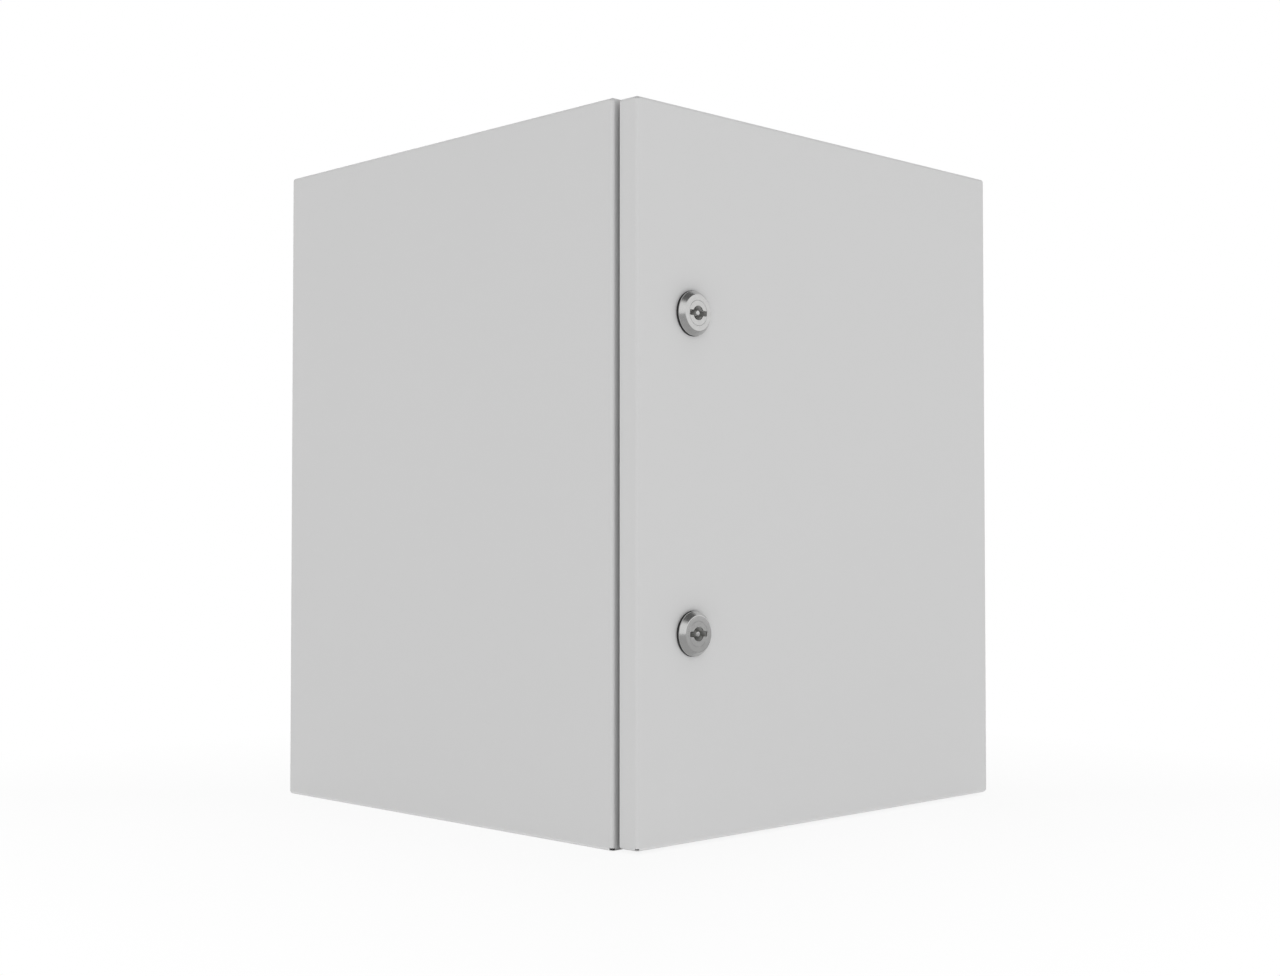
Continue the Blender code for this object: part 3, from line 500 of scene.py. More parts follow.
def hexTree():
    # Hexagons with a bevelled top and a flange under them, on points: nuts bored right
    # through, and screw heads with a shallow dish. They stand along +Z before they are turned.
    tree, given = newTree(
        "hexagon heads", flats="Float", height="Float", flangeRadius="Float", flange="Float",
        bore="Float", boreDepth="Float", turn="Rotation", spin="Rotation")
    across = addNode(tree, "ShaderNodeMath", {0: given["flats"], 1: math.sqrt(3)}, operation="DIVIDE")
    crown = addNode(tree, "ShaderNodeMath", {0: given["flats"], 1: 0.48}, operation="MULTIPLY")
    coneFoot = addNode(  # the bevel rises at 30 degrees
        tree, "ShaderNodeMath", {0: given["height"], 1: math.sqrt(3), 2: crown}, operation="MULTIPLY_ADD")
    half = addNode(tree, "ShaderNodeMath", {0: given["height"], 1: 0.5}, operation="MULTIPLY")
    halfFlange = addNode(tree, "ShaderNodeMath", {0: given["flange"], 1: 0.5}, operation="MULTIPLY")
    drillLength = addNode(tree, "ShaderNodeMath", {0: given["boreDepth"], 1: 2}, operation="MULTIPLY")
    block = addNode(
        tree, "GeometryNodeMeshCylinder", {"Vertices": 6, "Radius": across, "Depth": given["height"]})
    cone = addNode(
        tree, "GeometryNodeMeshCone",
        {"Vertices": 48, "Radius Top": crown, "Radius Bottom": coneFoot, "Depth": given["height"]})
    bevelled = addNode(
        tree, "GeometryNodeMeshBoolean", {"Mesh 2": [raised(tree, block, half), cone]},
        operation="INTERSECT", solver="EXACT")
    skirt = addNode(
        tree, "GeometryNodeMeshCylinder",
        {"Vertices": 48, "Radius": given["flangeRadius"], "Depth": given["flange"]})
    whole = addNode(
        tree, "GeometryNodeMeshBoolean", {"Mesh 2": [bevelled, raised(tree, skirt, halfFlange)]},
        operation="UNION", solver="EXACT")
    drill = addNode(
        tree, "GeometryNodeMeshCylinder", {"Vertices": 40, "Radius": given["bore"], "Depth": drillLength})
    bored = addNode(
        tree, "GeometryNodeMeshBoolean", {"Mesh 1": whole, "Mesh 2": raised(tree, drill, given["height"])},
        operation="DIFFERENCE", solver="EXACT")
    spunRound = addNode(tree, "GeometryNodeTransform", {"Geometry": bored, "Rotation": given["spin"]})
    copies = addNode(
        tree, "GeometryNodeInstanceOnPoints",
        {"Points": given["Geometry"], "Instance": spunRound, "Rotation": given["turn"]})
    return endTree(tree, given, copies)


def sleeveThreadTree():
    # the coarse thread of a lock's sleeve, from each point
    tree, given = newTree("sleeve thread", radius="Float", length="Float", pitch="Float", turn="Rotation")
    ridge = addNode(tree, "ShaderNodeMath", {0: given["pitch"], 1: 0.42}, operation="MULTIPLY")
    thread = woundThread(tree, given["radius"], given["length"], given["pitch"], ridge, 64)
    copies = addNode(
        tree, "GeometryNodeInstanceOnPoints",
        {"Points": given["Geometry"], "Instance": thread, "Rotation": given["turn"]})
    return endTree(tree, given, copies)


def copyTree():
    # copies of one modelled piece on points
    tree, given = newTree("copies on points", piece="Object")
    source = addNode(tree, "GeometryNodeObjectInfo", {"Object": given["piece"]}).outputs["Geometry"]
    copies = addNode(tree, "GeometryNodeInstanceOnPoints", {"Points": given["Geometry"], "Instance": source})
    return endTree(tree, given, copies)


def drillTree():
    # a row of round holes through a strip, from start and on by step
    tree, given = newTree(
        "perforated strip", radius="Float", count="Int", start="Vector", step="Vector",
        depth="Float", turn="Rotation")
    row = addNode(
        tree, "GeometryNodeMeshLine",
        {"Count": given["count"], "Start Location": given["start"], "Offset": given["step"]})
    drill = addNode(
        tree, "GeometryNodeMeshCylinder",
        {"Vertices": 24, "Radius": given["radius"], "Depth": given["depth"]})
    drills = addNode(
        tree, "GeometryNodeInstanceOnPoints", {"Points": row, "Instance": drill, "Rotation": given["turn"]})
    solid = addNode(tree, "GeometryNodeRealizeInstances", {"Geometry": drills})
    holed = addNode(
        tree, "GeometryNodeMeshBoolean", {"Mesh 1": given["Geometry"], "Mesh 2": solid},
        operation="DIFFERENCE", solver="EXACT")
    return endTree(tree, given, holed)


sweptSeal = sweepTree()
threadedStuds = studTree()
hexHeads = hexTree()
sleeveThread = sleeveThreadTree()
copiesOnPoints = copyTree()
perforated = drillTree()
upright = (0, 0, 0)
towardsDoor = (math.radians(90), 0, 0)  # +Z turned to -Y
towardsWall = (math.radians(-90), 0, 0)  # +Z turned to +Y
print("geometry node trees made")

# Places that several pieces share, from the frame
seat = 0.3 * mm  # gap between seated pieces
overrun = 1 * mm  # how far a cutter runs on past what it cuts
bodyLow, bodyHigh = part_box("body_shell")
doorLow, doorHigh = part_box("door_panel")
bracketLow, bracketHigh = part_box("hinge_bracket_lower")
halfWidth = bodyHigh.x
halfHeight = bodyHigh.z / 2
flangeFront = bracketHigh.y + seat
gutter = halfWidth - bracketLow.x + seat
lipFront = bodyLow.y
hingeAxis = jointPlaces["door_hinge"]
lockPlaces = {side: jointPlaces[f"lock_turn_{side}"] for side in sides}

# Body shell
body = {
    "sheet": 1.5 * mm, "bendInside": 1.0 * mm, "lipCorner": 6 * mm, "rawEdge": 0.3 * mm,
    "wallHole": 4.25 * mm, "screwHole": 2.0 * mm, "relief": 3.8 * mm, "reliefHeight": 1.3 * mm}
gland = {"corner": 8 * mm, "sealWidth": 10 * mm, "sealEdge": 0.5 * mm, "plateEdge": 0.3 * mm}
cornerRelief = {"fromEnd": 1.4 * mm, "through": 6 * mm, "dent": 1.2 * mm}


def sheetRings(outline, halfA, halfB, cornerAt):
    # an outline of (inset, y) carried round a rectangle; cornerAt gives the corner radius for an inset
    rings = []
    for inset, y in outline:
        radius = max(cornerAt(inset), 0)
        rings.append(lifted(roundedOutline(halfA - inset, halfB - inset, radius, 8, (0, halfHeight)), y, "Y"))
    return rings


def cornerReliefs(halfA, front, low, high, bend, across, height):
    # Where three folds meet, the sheet is notched: right through at the foot, and at the
    # top closed by weld and paint to a shallow dent.
    notches = (
        (low + cornerRelief["fromEnd"], cornerRelief["through"]),
        (high - cornerRelief["fromEnd"], cornerRelief["dent"]))
    cutters = []
    for sign in (-1, 1):
        hub = Vector((sign * (halfA - bend), front + bend))
        outwards = Vector((sign, -1)).normalized()
        along = Vector((1, sign)).normalized() * across / 2
        outside = hub + outwards * (bend + overrun)
        for middle, depth in notches:
            inside = hub + outwards * (bend - depth)
            outline = [outside - along, outside + along, inside + along, inside - along]
            cutters.append(slab("corner relief", outline, middle - height / 2, middle + height / 2, "Z"))
    return cutters


def makeBody():
    sheet = body["sheet"]
    half = sheet / 2
    bend = body["bendInside"] + sheet
    path = [
        (2 * bend, bodyHigh.y - half), (half, bodyHigh.y - half), (half, flangeFront + half),
        (gutter + half, flangeFront + half), (gutter + half, lipFront)]

    def cornerAt(inset):
        return bend - inset if inset < gutter / 2 else body["lipCorner"] + gutter - inset

    outline = folded(path, body["bendInside"], sheet, body["rawEdge"])
    shell = loft("bodyShell", sheetRings(outline, halfWidth, halfHeight, cornerAt))
    through = 2 * sheet
    cutters = []
    for corner in corners:
        spot = middleOf(f"wall_hole_plug_{corner}")
        hole = circle((spot.x, spot.z), body["wallHole"])
        cutters.append(slab("wall hole", hole, bodyHigh.y - through, bodyHigh.y + through))
    for side in sides:
        for number in (1, 2):
            spot = middleOf(f"hinge_screw_{side}_{number}")
            hole = circle((spot.x, spot.z), body["screwHole"], 32)
            cutters.append(slab("screw hole", hole, flangeFront - through, flangeFront + through))
    sealLow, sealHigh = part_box("gland_gasket")
    middle = (sealLow + sealHigh) / 2
    halfOpening = (sealHigh - sealLow) / 2 - Vector((gland["sealWidth"],) * 3)
    opening = roundedOutline(halfOpening.x, halfOpening.y, gland["corner"], 10, (middle.x, middle.y))
    cutters.append(slab("gland opening", opening, -through, through, "Z"))
    cutters += cornerReliefs(
        halfWidth, flangeFront, bodyLow.z, bodyHigh.z, bend, body["relief"], body["reliefHeight"])
    boolean(shell, "DIFFERENCE", *cutters)
    finishPiece(shell, "root", "powder_coat", "body_shell")


makeBody()
print("body shell made")

# Door panel
door = {
    "sheet": 1.5 * mm, "bendInside": 1.0 * mm, "rawEdge": 0.3 * mm, "lockHole": 11.3 * mm,
    "relief": 2.8 * mm, "reliefHeight": 0.9 * mm}
doorInner = doorLow.y + door["sheet"]


def makeDoor():
    half = door["sheet"] / 2
    bend = door["bendInside"] + door["sheet"]
    path = [(2 * bend, doorLow.y + half), (half, doorLow.y + half), (half, doorHigh.y)]
    outline = folded(path, door["bendInside"], door["sheet"], door["rawEdge"])
    halfDoor = (doorHigh - doorLow) / 2
    panel = loft("doorPanel", sheetRings(outline, halfDoor.x, halfDoor.z, lambda inset: bend - inset))
    cutters = []
    for spot in lockPlaces.values():
        hole = circle((spot.x, spot.z), door["lockHole"], 72)
        cutters.append(slab("lock hole", hole, doorLow.y - overrun, doorInner + overrun))
    cutters += cornerReliefs(
        halfDoor.x, doorLow.y, doorLow.z, doorHigh.z, bend, door["relief"], door["reliefHeight"])
    boolean(panel, "DIFFERENCE", *cutters)
    finishPiece(panel, "door", "powder_coat", "door_panel")


makeDoor()
print("door panel made")

# Seals
seal = {"width": 10 * mm, "corner": 6 * mm, "foot": 0.25}  # foot: its share of the bead's height


def makeSeal(name, node, profile, width, corner, turn, bodyName, angle=32):
    # a profile of (across, height) swept round the node's rectangle, from its front or its foot
    low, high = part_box(node)
    size = high - low
    place = (low + high) / 2
    if turn == towardsDoor:
        size = Vector((size.x, size.z))
        place.y = low.y
    else:
        place.z = low.z
    edges = [(i, (i + 1) % len(profile)) for i in range(len(profile))]
    ring = grown(
        name, sweptSeal, [(a, b, 0) for a, b in profile], edges, "foam_seal", width=size.x - width,
        height=size.y - width, corner=corner, place=tuple(place), turn=turn)
    finishPiece(ring, bodyName, "foam_seal", node, angle=angle)


def makeDoorSeal():
    # foamed bead: flat foot on the door, crowned top that the body's lip presses into
    low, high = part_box("door_gasket")
    half = seal["width"] / 2
    tall = high.y - low.y
    angles = [math.radians(15 * step) for step in range(13)]
    crown = [
        (half * math.cos(a), tall * (seal["foot"] + (1 - seal["foot"]) * math.sin(a) ** 0.7)) for a in angles]
    profile = [(-half, 0), (half, 0)] + crown
    makeSeal("doorSeal", "door_gasket", profile, seal["width"], seal["corner"], towardsDoor, "door", 60)


def makeGlandSeal():
    low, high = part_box("gland_gasket")
    half = gland["sealWidth"] / 2
    tall = high.z - low.z
    edge = gland["sealEdge"]
    profile = [
        (-half, 0), (half, 0), (half, tall - edge),
        (half - edge, tall), (edge - half, tall), (-half, tall - edge)]
    upsideDown = (math.pi, 0, 0)
    makeSeal(
        "glandSeal", "gland_gasket", profile, gland["sealWidth"], gland["corner"] + half, upsideDown, "root")


makeDoorSeal()
makeGlandSeal()
print("seals made")

# Welded studs and their nuts
mountStud = {"radius": 4 * mm, "collarRadius": 6.5 * mm, "collar": 15 * mm, "pitch": 1.25 * mm}
mountNut = {"flats": 13 * mm, "flangeRadius": 8.5 * mm, "flange": 1.5 * mm, "bore": 4.3 * mm}
glandStud = {"radius": 2.5 * mm, "collarRadius": 3.1 * mm, "collar": 3 * mm, "pitch": 0.8 * mm}
glandNut = {"flats": 8 * mm, "flangeRadius": 4.3 * mm, "flange": 1.5 * mm, "bore": 2.8 * mm}
earthStud = {"radius": 4 * mm, "collarRadius": 6.5 * mm, "collar": 1.5 * mm, "pitch": 1.25 * mm}


def foot(node, axis, way):
    # the point where a piece starts, on its own axis: way 1 stands along +axis, -1 along -axis
    low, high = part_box(node)
    spot = (low + high) / 2
    spot[axis] = low[axis] if way > 0 else high[axis]
    return spot, (high - low)[axis]


def makeStuds(name, nodeNames, sizes, axis, way, turn, bodyName, slotName="zinc_plated_steel"):
    feet = [foot(node, axis, way) for node in nodeNames]
    studs = grown(
        name, threadedStuds, [spot for spot, length in feet], slotName=slotName,
        length=feet[0][1] - sizes["collar"], turn=turn, **sizes)
    finishPiece(studs, bodyName, slotName, *nodeNames)


def makeNuts(name, nodeNames, sizes, axis, way, turn, bodyName, spin=0.0):
    feet = [foot(node, axis, way) for node in nodeNames]
    height = feet[0][1]
    nuts = grown(
        name, hexHeads, [spot for spot, length in feet], height=height,
        boreDepth=height + overrun, turn=turn, spin=(0, 0, spin), **sizes)
    finishPiece(nuts, bodyName, "zinc_plated_steel", *nodeNames)


def makeFasteners():
    mountingStuds = [f"mounting_stud_{corner}" for corner in corners]
    mountingNuts = [f"mounting_nut_{corner}" for corner in corners]
    glandStuds = [f"gland_stud_{corner}" for corner in corners]
    glandNuts = [f"gland_nut_{corner}" for corner in corners]
    copper = "copper_plated_steel"
    makeStuds("mountingStuds", mountingStuds, mountStud, 1, -1, towardsDoor, "root")
    makeNuts("mountingNuts", mountingNuts, mountNut, 1, -1, towardsDoor, "root")
    makeStuds("glandStuds", glandStuds, glandStud, 2, 1, upright, "root")
    makeNuts("glandNuts", glandNuts, glandNut, 2, 1, upright, "root")
    makeStuds("earthStudBody", ["earth_stud_body"], earthStud, 2, 1, upright, "root", copper)
    makeNuts("earthNutBody", ["earth_nut_body"], mountNut, 2, 1, upright, "root", 0.3)
    makeStuds("earthStudDoor", ["earth_stud_door"], earthStud, 1, 1, towardsWall, "door", copper)
    makeNuts("earthNutDoor", ["earth_nut_door"], mountNut, 1, 1, towardsWall, "door", 0.2)


# Mounting plate and gland plate
plate = {
    "corner": 5 * mm, "studHole": 4.3 * mm, "slotWidth": 5 * mm, "slotLength": 12 * mm,
    "slotInset": 40 * mm, "slotRows": 4, "edge": 0.35 * mm}


def makeMountingPlate():
    # a flat sheet with four stud holes, and in line with them a column of fixing slots at each side
    low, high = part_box("mounting_plate")
    middle = (low + high) / 2
    size = (high - low) / 2
    outline = roundedOutline(size.x, size.z, plate["corner"], 8, (middle.x, middle.z))
    sheet = slab("mountingPlate", outline, low.y, high.y)
    studs = [middleOf(f"mounting_stud_{corner}") for corner in corners]
    holes = [("stud hole", circle((spot.x, spot.z), plate["studHole"])) for spot in studs]
    reach = size.z - plate["slotInset"]
    halfSlot = plate["slotWidth"] / 2
    for side in (-1, 1):
        for row in range(plate["slotRows"]):
            z = middle.z - reach + 2 * reach * row / (plate["slotRows"] - 1)
            centre = (side * max(spot.x for spot in studs), z)
            slot = roundedOutline(halfSlot, plate["slotLength"] / 2, halfSlot, 8, centre)
            holes.append(("fixing slot", slot))
    cutters = [slab(name, hole, low.y - overrun, high.y + overrun) for name, hole in holes]
    boolean(sheet, "DIFFERENCE", *cutters)
    softenEdges(sheet, plate["edge"])
    finishPiece(sheet, "root", "galvanised_sheet", "mounting_plate")


def makeGlandPlate():
    low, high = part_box("gland_plate")
    middle = (low + high) / 2
    size = (high - low) / 2
    outline = roundedOutline(size.x, size.y, gland["corner"], 8, (middle.x, middle.y))
    sheet = slab("glandPlate", outline, low.z, high.z, "Z")
    cutters = []
    for corner in corners:
        spot = middleOf(f"gland_stud_{corner}")
        hole = circle((spot.x, spot.y), glandStud["radius"] + seat, 32)
        cutters.append(slab("stud hole", hole, low.z - overrun, high.z + overrun, "Z"))
    boolean(sheet, "DIFFERENCE", *cutters)
    softenEdges(sheet, gland["plateEdge"])
    finishPiece(sheet, "root", "galvanised_sheet", "gland_plate")


makeMountingPlate()
makeGlandPlate()
makeFasteners()
print("plates, studs and nuts made")

# Plugs in the wall holes
plug = {
    "headRadius": 7 * mm, "head": 2 * mm, "crown": 0.8 * mm, "stem": 3.95 * mm,
    "dish": 2.6 * mm, "dishDepth": 1.8 * mm, "rim": 0.4 * mm}


def makePlugs():
    # a crowned head inside the cabinet, and a hollow stem in the wall hole
    low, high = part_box("wall_hole_plug_1")
    rim = plug["rim"]
    head = plug["head"]
    radius = plug["headRadius"]
    whole = high.y - low.y
    bottom = whole - plug["dishDepth"]
    profile = [
        (radius * 0.45, 0), (radius * 0.8, 0.25 * mm), (radius - rim, plug["crown"]), (radius, head - rim),
        (radius, head), (plug["stem"], head), (plug["stem"], whole - rim), (plug["stem"] - rim, whole),
        (plug["dish"], whole), (plug["dish"] - rim, bottom + rim / 2), (plug["dish"] * 0.4, bottom)]
    one = turned("plug", profile, (0, 0, 0), (0, 1, 0), 48)
    nodeNames = [f"wall_hole_plug_{corner}" for corner in corners]
    spots = [foot(node, 1, 1)[0] for node in nodeNames]
    plugs = grown("wallHolePlugs", copiesOnPoints, spots, slotName="black_plastic", piece=one)
    bpy.data.objects.remove(one)
    finishPiece(plugs, "root", "black_plastic", *nodeNames)


makePlugs()
print("plugs made")

# Hinges
hinge = {
    "pin": 2.0 * mm, "knuckle": 4.0 * mm, "bore": 2.3 * mm, "sheet": 1.8 * mm, "bendInside": 0.6 * mm,
    "legWidth": 7.7 * mm, "leafWidth": 12 * mm, "edge": 0.25 * mm, "corner": 2.5 * mm, "pinBevel": 0.4 * mm}
hingeScrew = {
    "radius": 1.7 * mm, "tipBevel": 0.3 * mm, "head": 3.4 * mm, "headHeight": 2.4 * mm, "dome": 0.55,
    "slot": 0.75 * mm, "slotLength": 3.9 * mm, "slotDepth": 1.1 * mm}


def knuckle(start, end):
    # a tube round the hinge pin
    profile = [(hinge[part], height) for part, height in (
        ("bore", 0), ("knuckle", 0), ("knuckle", end - start), ("bore", end - start))]
    return turned("knuckle", profile, (hingeAxis.x, hingeAxis.y, start), (0, 0, 1), 48, bored=True)


def pinBore(low, high):
    bore = circle((hingeAxis.x, hingeAxis.y), hinge["bore"])
    return slab("pin bore", bore, low.z - overrun, high.z + overrun, "Z")


def makeBracket(side):
    # a goose-neck strip: leg on the flange, riser along the lip, arm rolled round the pin
    node = f"hinge_bracket_{side}"
    low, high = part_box(node)
    half = hinge["sheet"] / 2
    path = [
        (low.x + hinge["legWidth"], high.y - half), (low.x + half, high.y - half),
        (low.x + half, lipFront + half), (hingeAxis.x - hinge["bore"], lipFront + half)]
    outline = folded(path, hinge["bendInside"], hinge["sheet"])
    strip = slab("hingeBracket_" + side, outline, low.z, high.z, "Z")
    boolean(strip, "UNION", knuckle(low.z, high.z))
    cutters = [pinBore(low, high)]
    for number in (1, 2):
        spot = middleOf(f"hinge_screw_{side}_{number}")
        hole = circle((spot.x, spot.z), body["screwHole"], 32)
        cutters.append(slab("screw hole", hole, high.y - 2 * hinge["sheet"], high.y + overrun))
    boolean(strip, "DIFFERENCE", *cutters)
    softenEdges(strip, hinge["edge"])
    finishPiece(strip, "root", "zinc_plated_steel", node)


def makeLeaf(side):
    # the door's half: a leaf welded behind the front sheet, with a knuckle at each end
    node = f"hinge_leaf_{side}"
    low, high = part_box(node)
    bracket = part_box(f"hinge_bracket_{side}")
    half = hinge["leafWidth"] / 2
    right = doorHigh.x - door["bendInside"] - door["sheet"] - seat
    front = doorInner + seat
    centre = (right - half, (low.z + high.z) / 2)
    outline = roundedOutline(half, (high.z - low.z) / 2, hinge["corner"], 6, centre)
    leaf = slab("hingeLeaf_" + side, outline, front, front + door["sheet"])
    webFoot = front + door["sheet"] / 2
    web = [
        (hingeAxis.x + hinge["pin"], webFoot), (hingeAxis.x + hinge["knuckle"], webFoot),
        (hingeAxis.x + hinge["knuckle"], hingeAxis.y), (hingeAxis.x + hinge["pin"], hingeAxis.y)]
    parts = []
    for start, end in ((low.z, bracket[0].z - seat), (bracket[1].z + seat, high.z)):
        parts.append(slab("web", web, start, end, "Z"))
        parts.append(knuckle(start, end))
    boolean(leaf, "UNION", *parts)
    boolean(leaf, "DIFFERENCE", pinBore(low, high))
    softenEdges(leaf, hinge["edge"])
    finishPiece(leaf, "door", "zinc_plated_steel", node)


def makePin(side):
    # a plain pin, bevelled below and with a low head above
    node = f"hinge_pin_{side}"
    low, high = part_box(node)
    long = high.z - low.z
    head = (high - low).x / 2
    radius = hinge["pin"]
    bevel = hinge["pinBevel"]
    profile = [
        (radius - bevel, 0), (radius, bevel), (radius, long - radius / 2), (head, long - radius / 2),
        (head, long - 0.35 * mm), (head - 0.35 * mm, long - 0.1 * mm), (head * 0.5, long)]
    pin = turned("hingePin_" + side, profile, (hingeAxis.x, hingeAxis.y, low.z), (0, 0, 1), 40)
    finishPiece(pin, "root", "zinc_plated_steel", node)


def makeHingeScrews():
    # pan heads inside the cabinet, each with a straight slot
    low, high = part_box("hinge_screw_lower_1")
    whole = high.y - low.y
    head = hingeScrew["headHeight"]
    radius = hingeScrew["head"]
    shank = hingeScrew["radius"]
    bevel = hingeScrew["tipBevel"]
    angles = [math.radians(15 * step) for step in range(1, 7)]
    dome = [(radius * math.sin(a), head * hingeScrew["dome"] * (1 - math.cos(a))) for a in angles]
    profile = dome + [(radius, head), (shank, head), (shank, whole - bevel), (shank - bevel, whole)]
    one = turned("screw", profile, (0, 0, 0), (0, -1, 0), 40)
    outline = roundedOutline(hingeScrew["slotLength"], hingeScrew["slot"] / 2, 0.05 * mm, 1)
    boolean(one, "DIFFERENCE", slab("slot", outline, overrun, -hingeScrew["slotDepth"]))
    nodeNames = [f"hinge_screw_{side}_{number}" for side in sides for number in (1, 2)]
    spots = [foot(node, 1, -1)[0] for node in nodeNames]
    screws = grown("hingeScrews", copiesOnPoints, spots, piece=one)
    bpy.data.objects.remove(one)
    finishPiece(screws, "root", "zinc_plated_steel", *nodeNames)


for side in sides:
    makeBracket(side)
    makeLeaf(side)
    makePin(side)
makeHingeScrews()
print("hinges made")

# Door rails
rail = {
    "sheet": 1.5 * mm, "leg": 10 * mm, "bendInside": 0.8 * mm, "hole": 1.9 * mm, "pitch": 25 * mm,
    "edge": 0.25 * mm}


def makeRail(name, sign):
    # a Z-section stiffener, with a row of holes along the leg that stands off the door
    node = f"door_rail_{name}"
    low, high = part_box(node)
    half = rail["sheet"] / 2
    middle = (low + high) / 2
    path = [
        (middle.x - sign * rail["leg"], low.y + half), (middle.x, low.y + half),
        (middle.x, high.y - half), (middle.x + sign * rail["leg"], high.y - half)]
    outline = folded(path, rail["bendInside"], rail["sheet"])
    strip = slab("doorRail_" + name, outline, low.z, high.z, "Z")
    count = int((high.z - low.z) / rail["pitch"] + 0.001)
    holes = middle.x + sign * (half + rail["leg"]) / 2
    first = middle.z - (count - 1) * rail["pitch"] / 2
    applyTree(
        strip, perforated, "powder_coat", radius=rail["hole"], count=count,
        start=(holes, high.y - half, first), step=(0, 0, rail["pitch"]), depth=4 * rail["sheet"],
        turn=towardsDoor)
    softenEdges(strip, rail["edge"])
    finishPiece(strip, "door", "powder_coat", node)


makeRail("left", -1)
makeRail("right", 1)
print("door rails made")

# Quarter-turn locks
lock = {
    "bevel": 2.8 * mm, "rim": 0.6 * mm, "head": 15.3 * mm, "sleeve": 10.7 * mm, "bore": 8.67 * mm,
    "boreEdge": 0.1 * mm, "tailBore": 6.36 * mm, "tail": 4 * mm, "edge": 0.35 * mm,
    "threadRadius": 10.25 * mm, "threadPitch": 1.5 * mm}
barrel = {
    "radius": 8.6 * mm, "edge": 0.1 * mm, "keyBore": 4.95 * mm, "keyDepth": 9 * mm,
    "keyPin": 1.75 * mm, "pinRecess": 0.25 * mm, "pinCrown": 0.4 * mm,
    "bitHeight": 3.75 * mm, "bitHalfSpan": 8.1 * mm, "bitCorner": 0.5 * mm,
    "shaft": 6.06 * mm, "square": 8 * mm, "squareCorner": 0.4 * mm,
    "screwHole": 2.8 * mm, "screwRoom": 1.5 * mm}
lockSeal = {"inner": 11.3 * mm, "outer": 15.5 * mm, "edge": 0.3 * mm}
lockNut = {"flats": 27 * mm, "flangeRadius": 13.23 * mm, "flange": 0.6 * mm, "bore": 11.3 * mm}
cam = {"width": 17 * mm, "reach": 40 * mm, "holeCorner": 0.3 * mm, "edge": 0.3 * mm}
camScrew = {
    "flats": 10 * mm, "flange": 1.5 * mm, "dish": 2.6 * mm, "dishDepth": 0.5 * mm, "spin": 0.31,
    "shank": 2.35 * mm, "shankBevel": 0.3 * mm, "overlap": 0.8 * mm}
forwards = (0, 1, 0)
barrelFront = lockPlaces["lower"].y
socketEnd = barrelFront + barrel["keyDepth"] + overrun
# the barrel's key socket is painted with shade inside
barrelFinish = satinNickel("satin_nickel_with_painted_socket_shade", (barrelFront, socketEnd))


def makeHousing(side):
    # the fixed outside: bevelled head, sleeve through the door, and a step that keeps the barrel in
    node = f"lock_housing_{side}"
    place = lockPlaces[side]
    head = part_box(f"lock_seal_{side}")[0].y - seat - place.y
    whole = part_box(node)[1].y - place.y
    radius = lock["head"]
    face = radius - lock["bevel"]
    edge = lock["edge"]
    slope = math.atan2(lock["bevel"], head - lock["rim"])
    profile = [
        (lock["bore"], lock["boreEdge"]), (lock["bore"] + lock["boreEdge"], 0),
        (face - edge, 0), (face - edge * 0.3, edge * 0.12),
        (face + edge * math.sin(slope), edge * math.cos(slope)),
        (radius - edge * math.sin(slope) * 0.6, head - lock["rim"] - edge * math.cos(slope) * 0.6),
        (radius, head - lock["rim"] + edge * 0.5), (radius, head),
        (lock["sleeve"], head), (lock["sleeve"], whole - edge), (lock["sleeve"] - edge, whole),
        (lock["tailBore"], whole), (lock["tailBore"], whole - lock["tail"]),
        (lock["bore"], whole - lock["tail"])]
    housing = turned("lockHousing_" + side, profile, place, forwards, 96, bored=True)
    finishPiece(housing, "door", "nickel_plated_zinc", node)


def makeSleeveThreads():
    # what shows of the sleeves' threads behind the nuts
    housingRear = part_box("lock_housing_lower")[1].y
    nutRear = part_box("lock_nut_lower")[1].y
    pitch = lock["threadPitch"]
    spots = [(place.x, nutRear + pitch * 0.6, place.z) for place in lockPlaces.values()]
    threads = grown(
        "lockSleeveThreads", sleeveThread, spots, slotName="nickel_plated_zinc", radius=lock["threadRadius"],
        length=housingRear - nutRear - 2 * pitch, pitch=pitch, turn=towardsWall)
    finishPiece(threads, "door", "nickel_plated_zinc")


def makeLockSeal(side):
    # a flat rubber ring between the head and the door
    node = f"lock_seal_{side}"
    low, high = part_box(node)
    edge = lockSeal["edge"]
    tall = high.y - low.y
    inner = lockSeal["inner"]
    outer = lockSeal["outer"]
    profile = [
        (inner, 0), (outer - edge, 0), (outer - edge * 0.3, edge * 0.3), (outer, edge), (outer, tall - edge),
        (outer - edge * 0.3, tall - edge * 0.3), (outer - edge, tall), (inner, tall)]
    place = lockPlaces[side]
    ring = turned("lockSeal_" + side, profile, (place.x, low.y, place.z), forwards, 96, bored=True)
    finishPiece(ring, "door", "black_rubber", node)


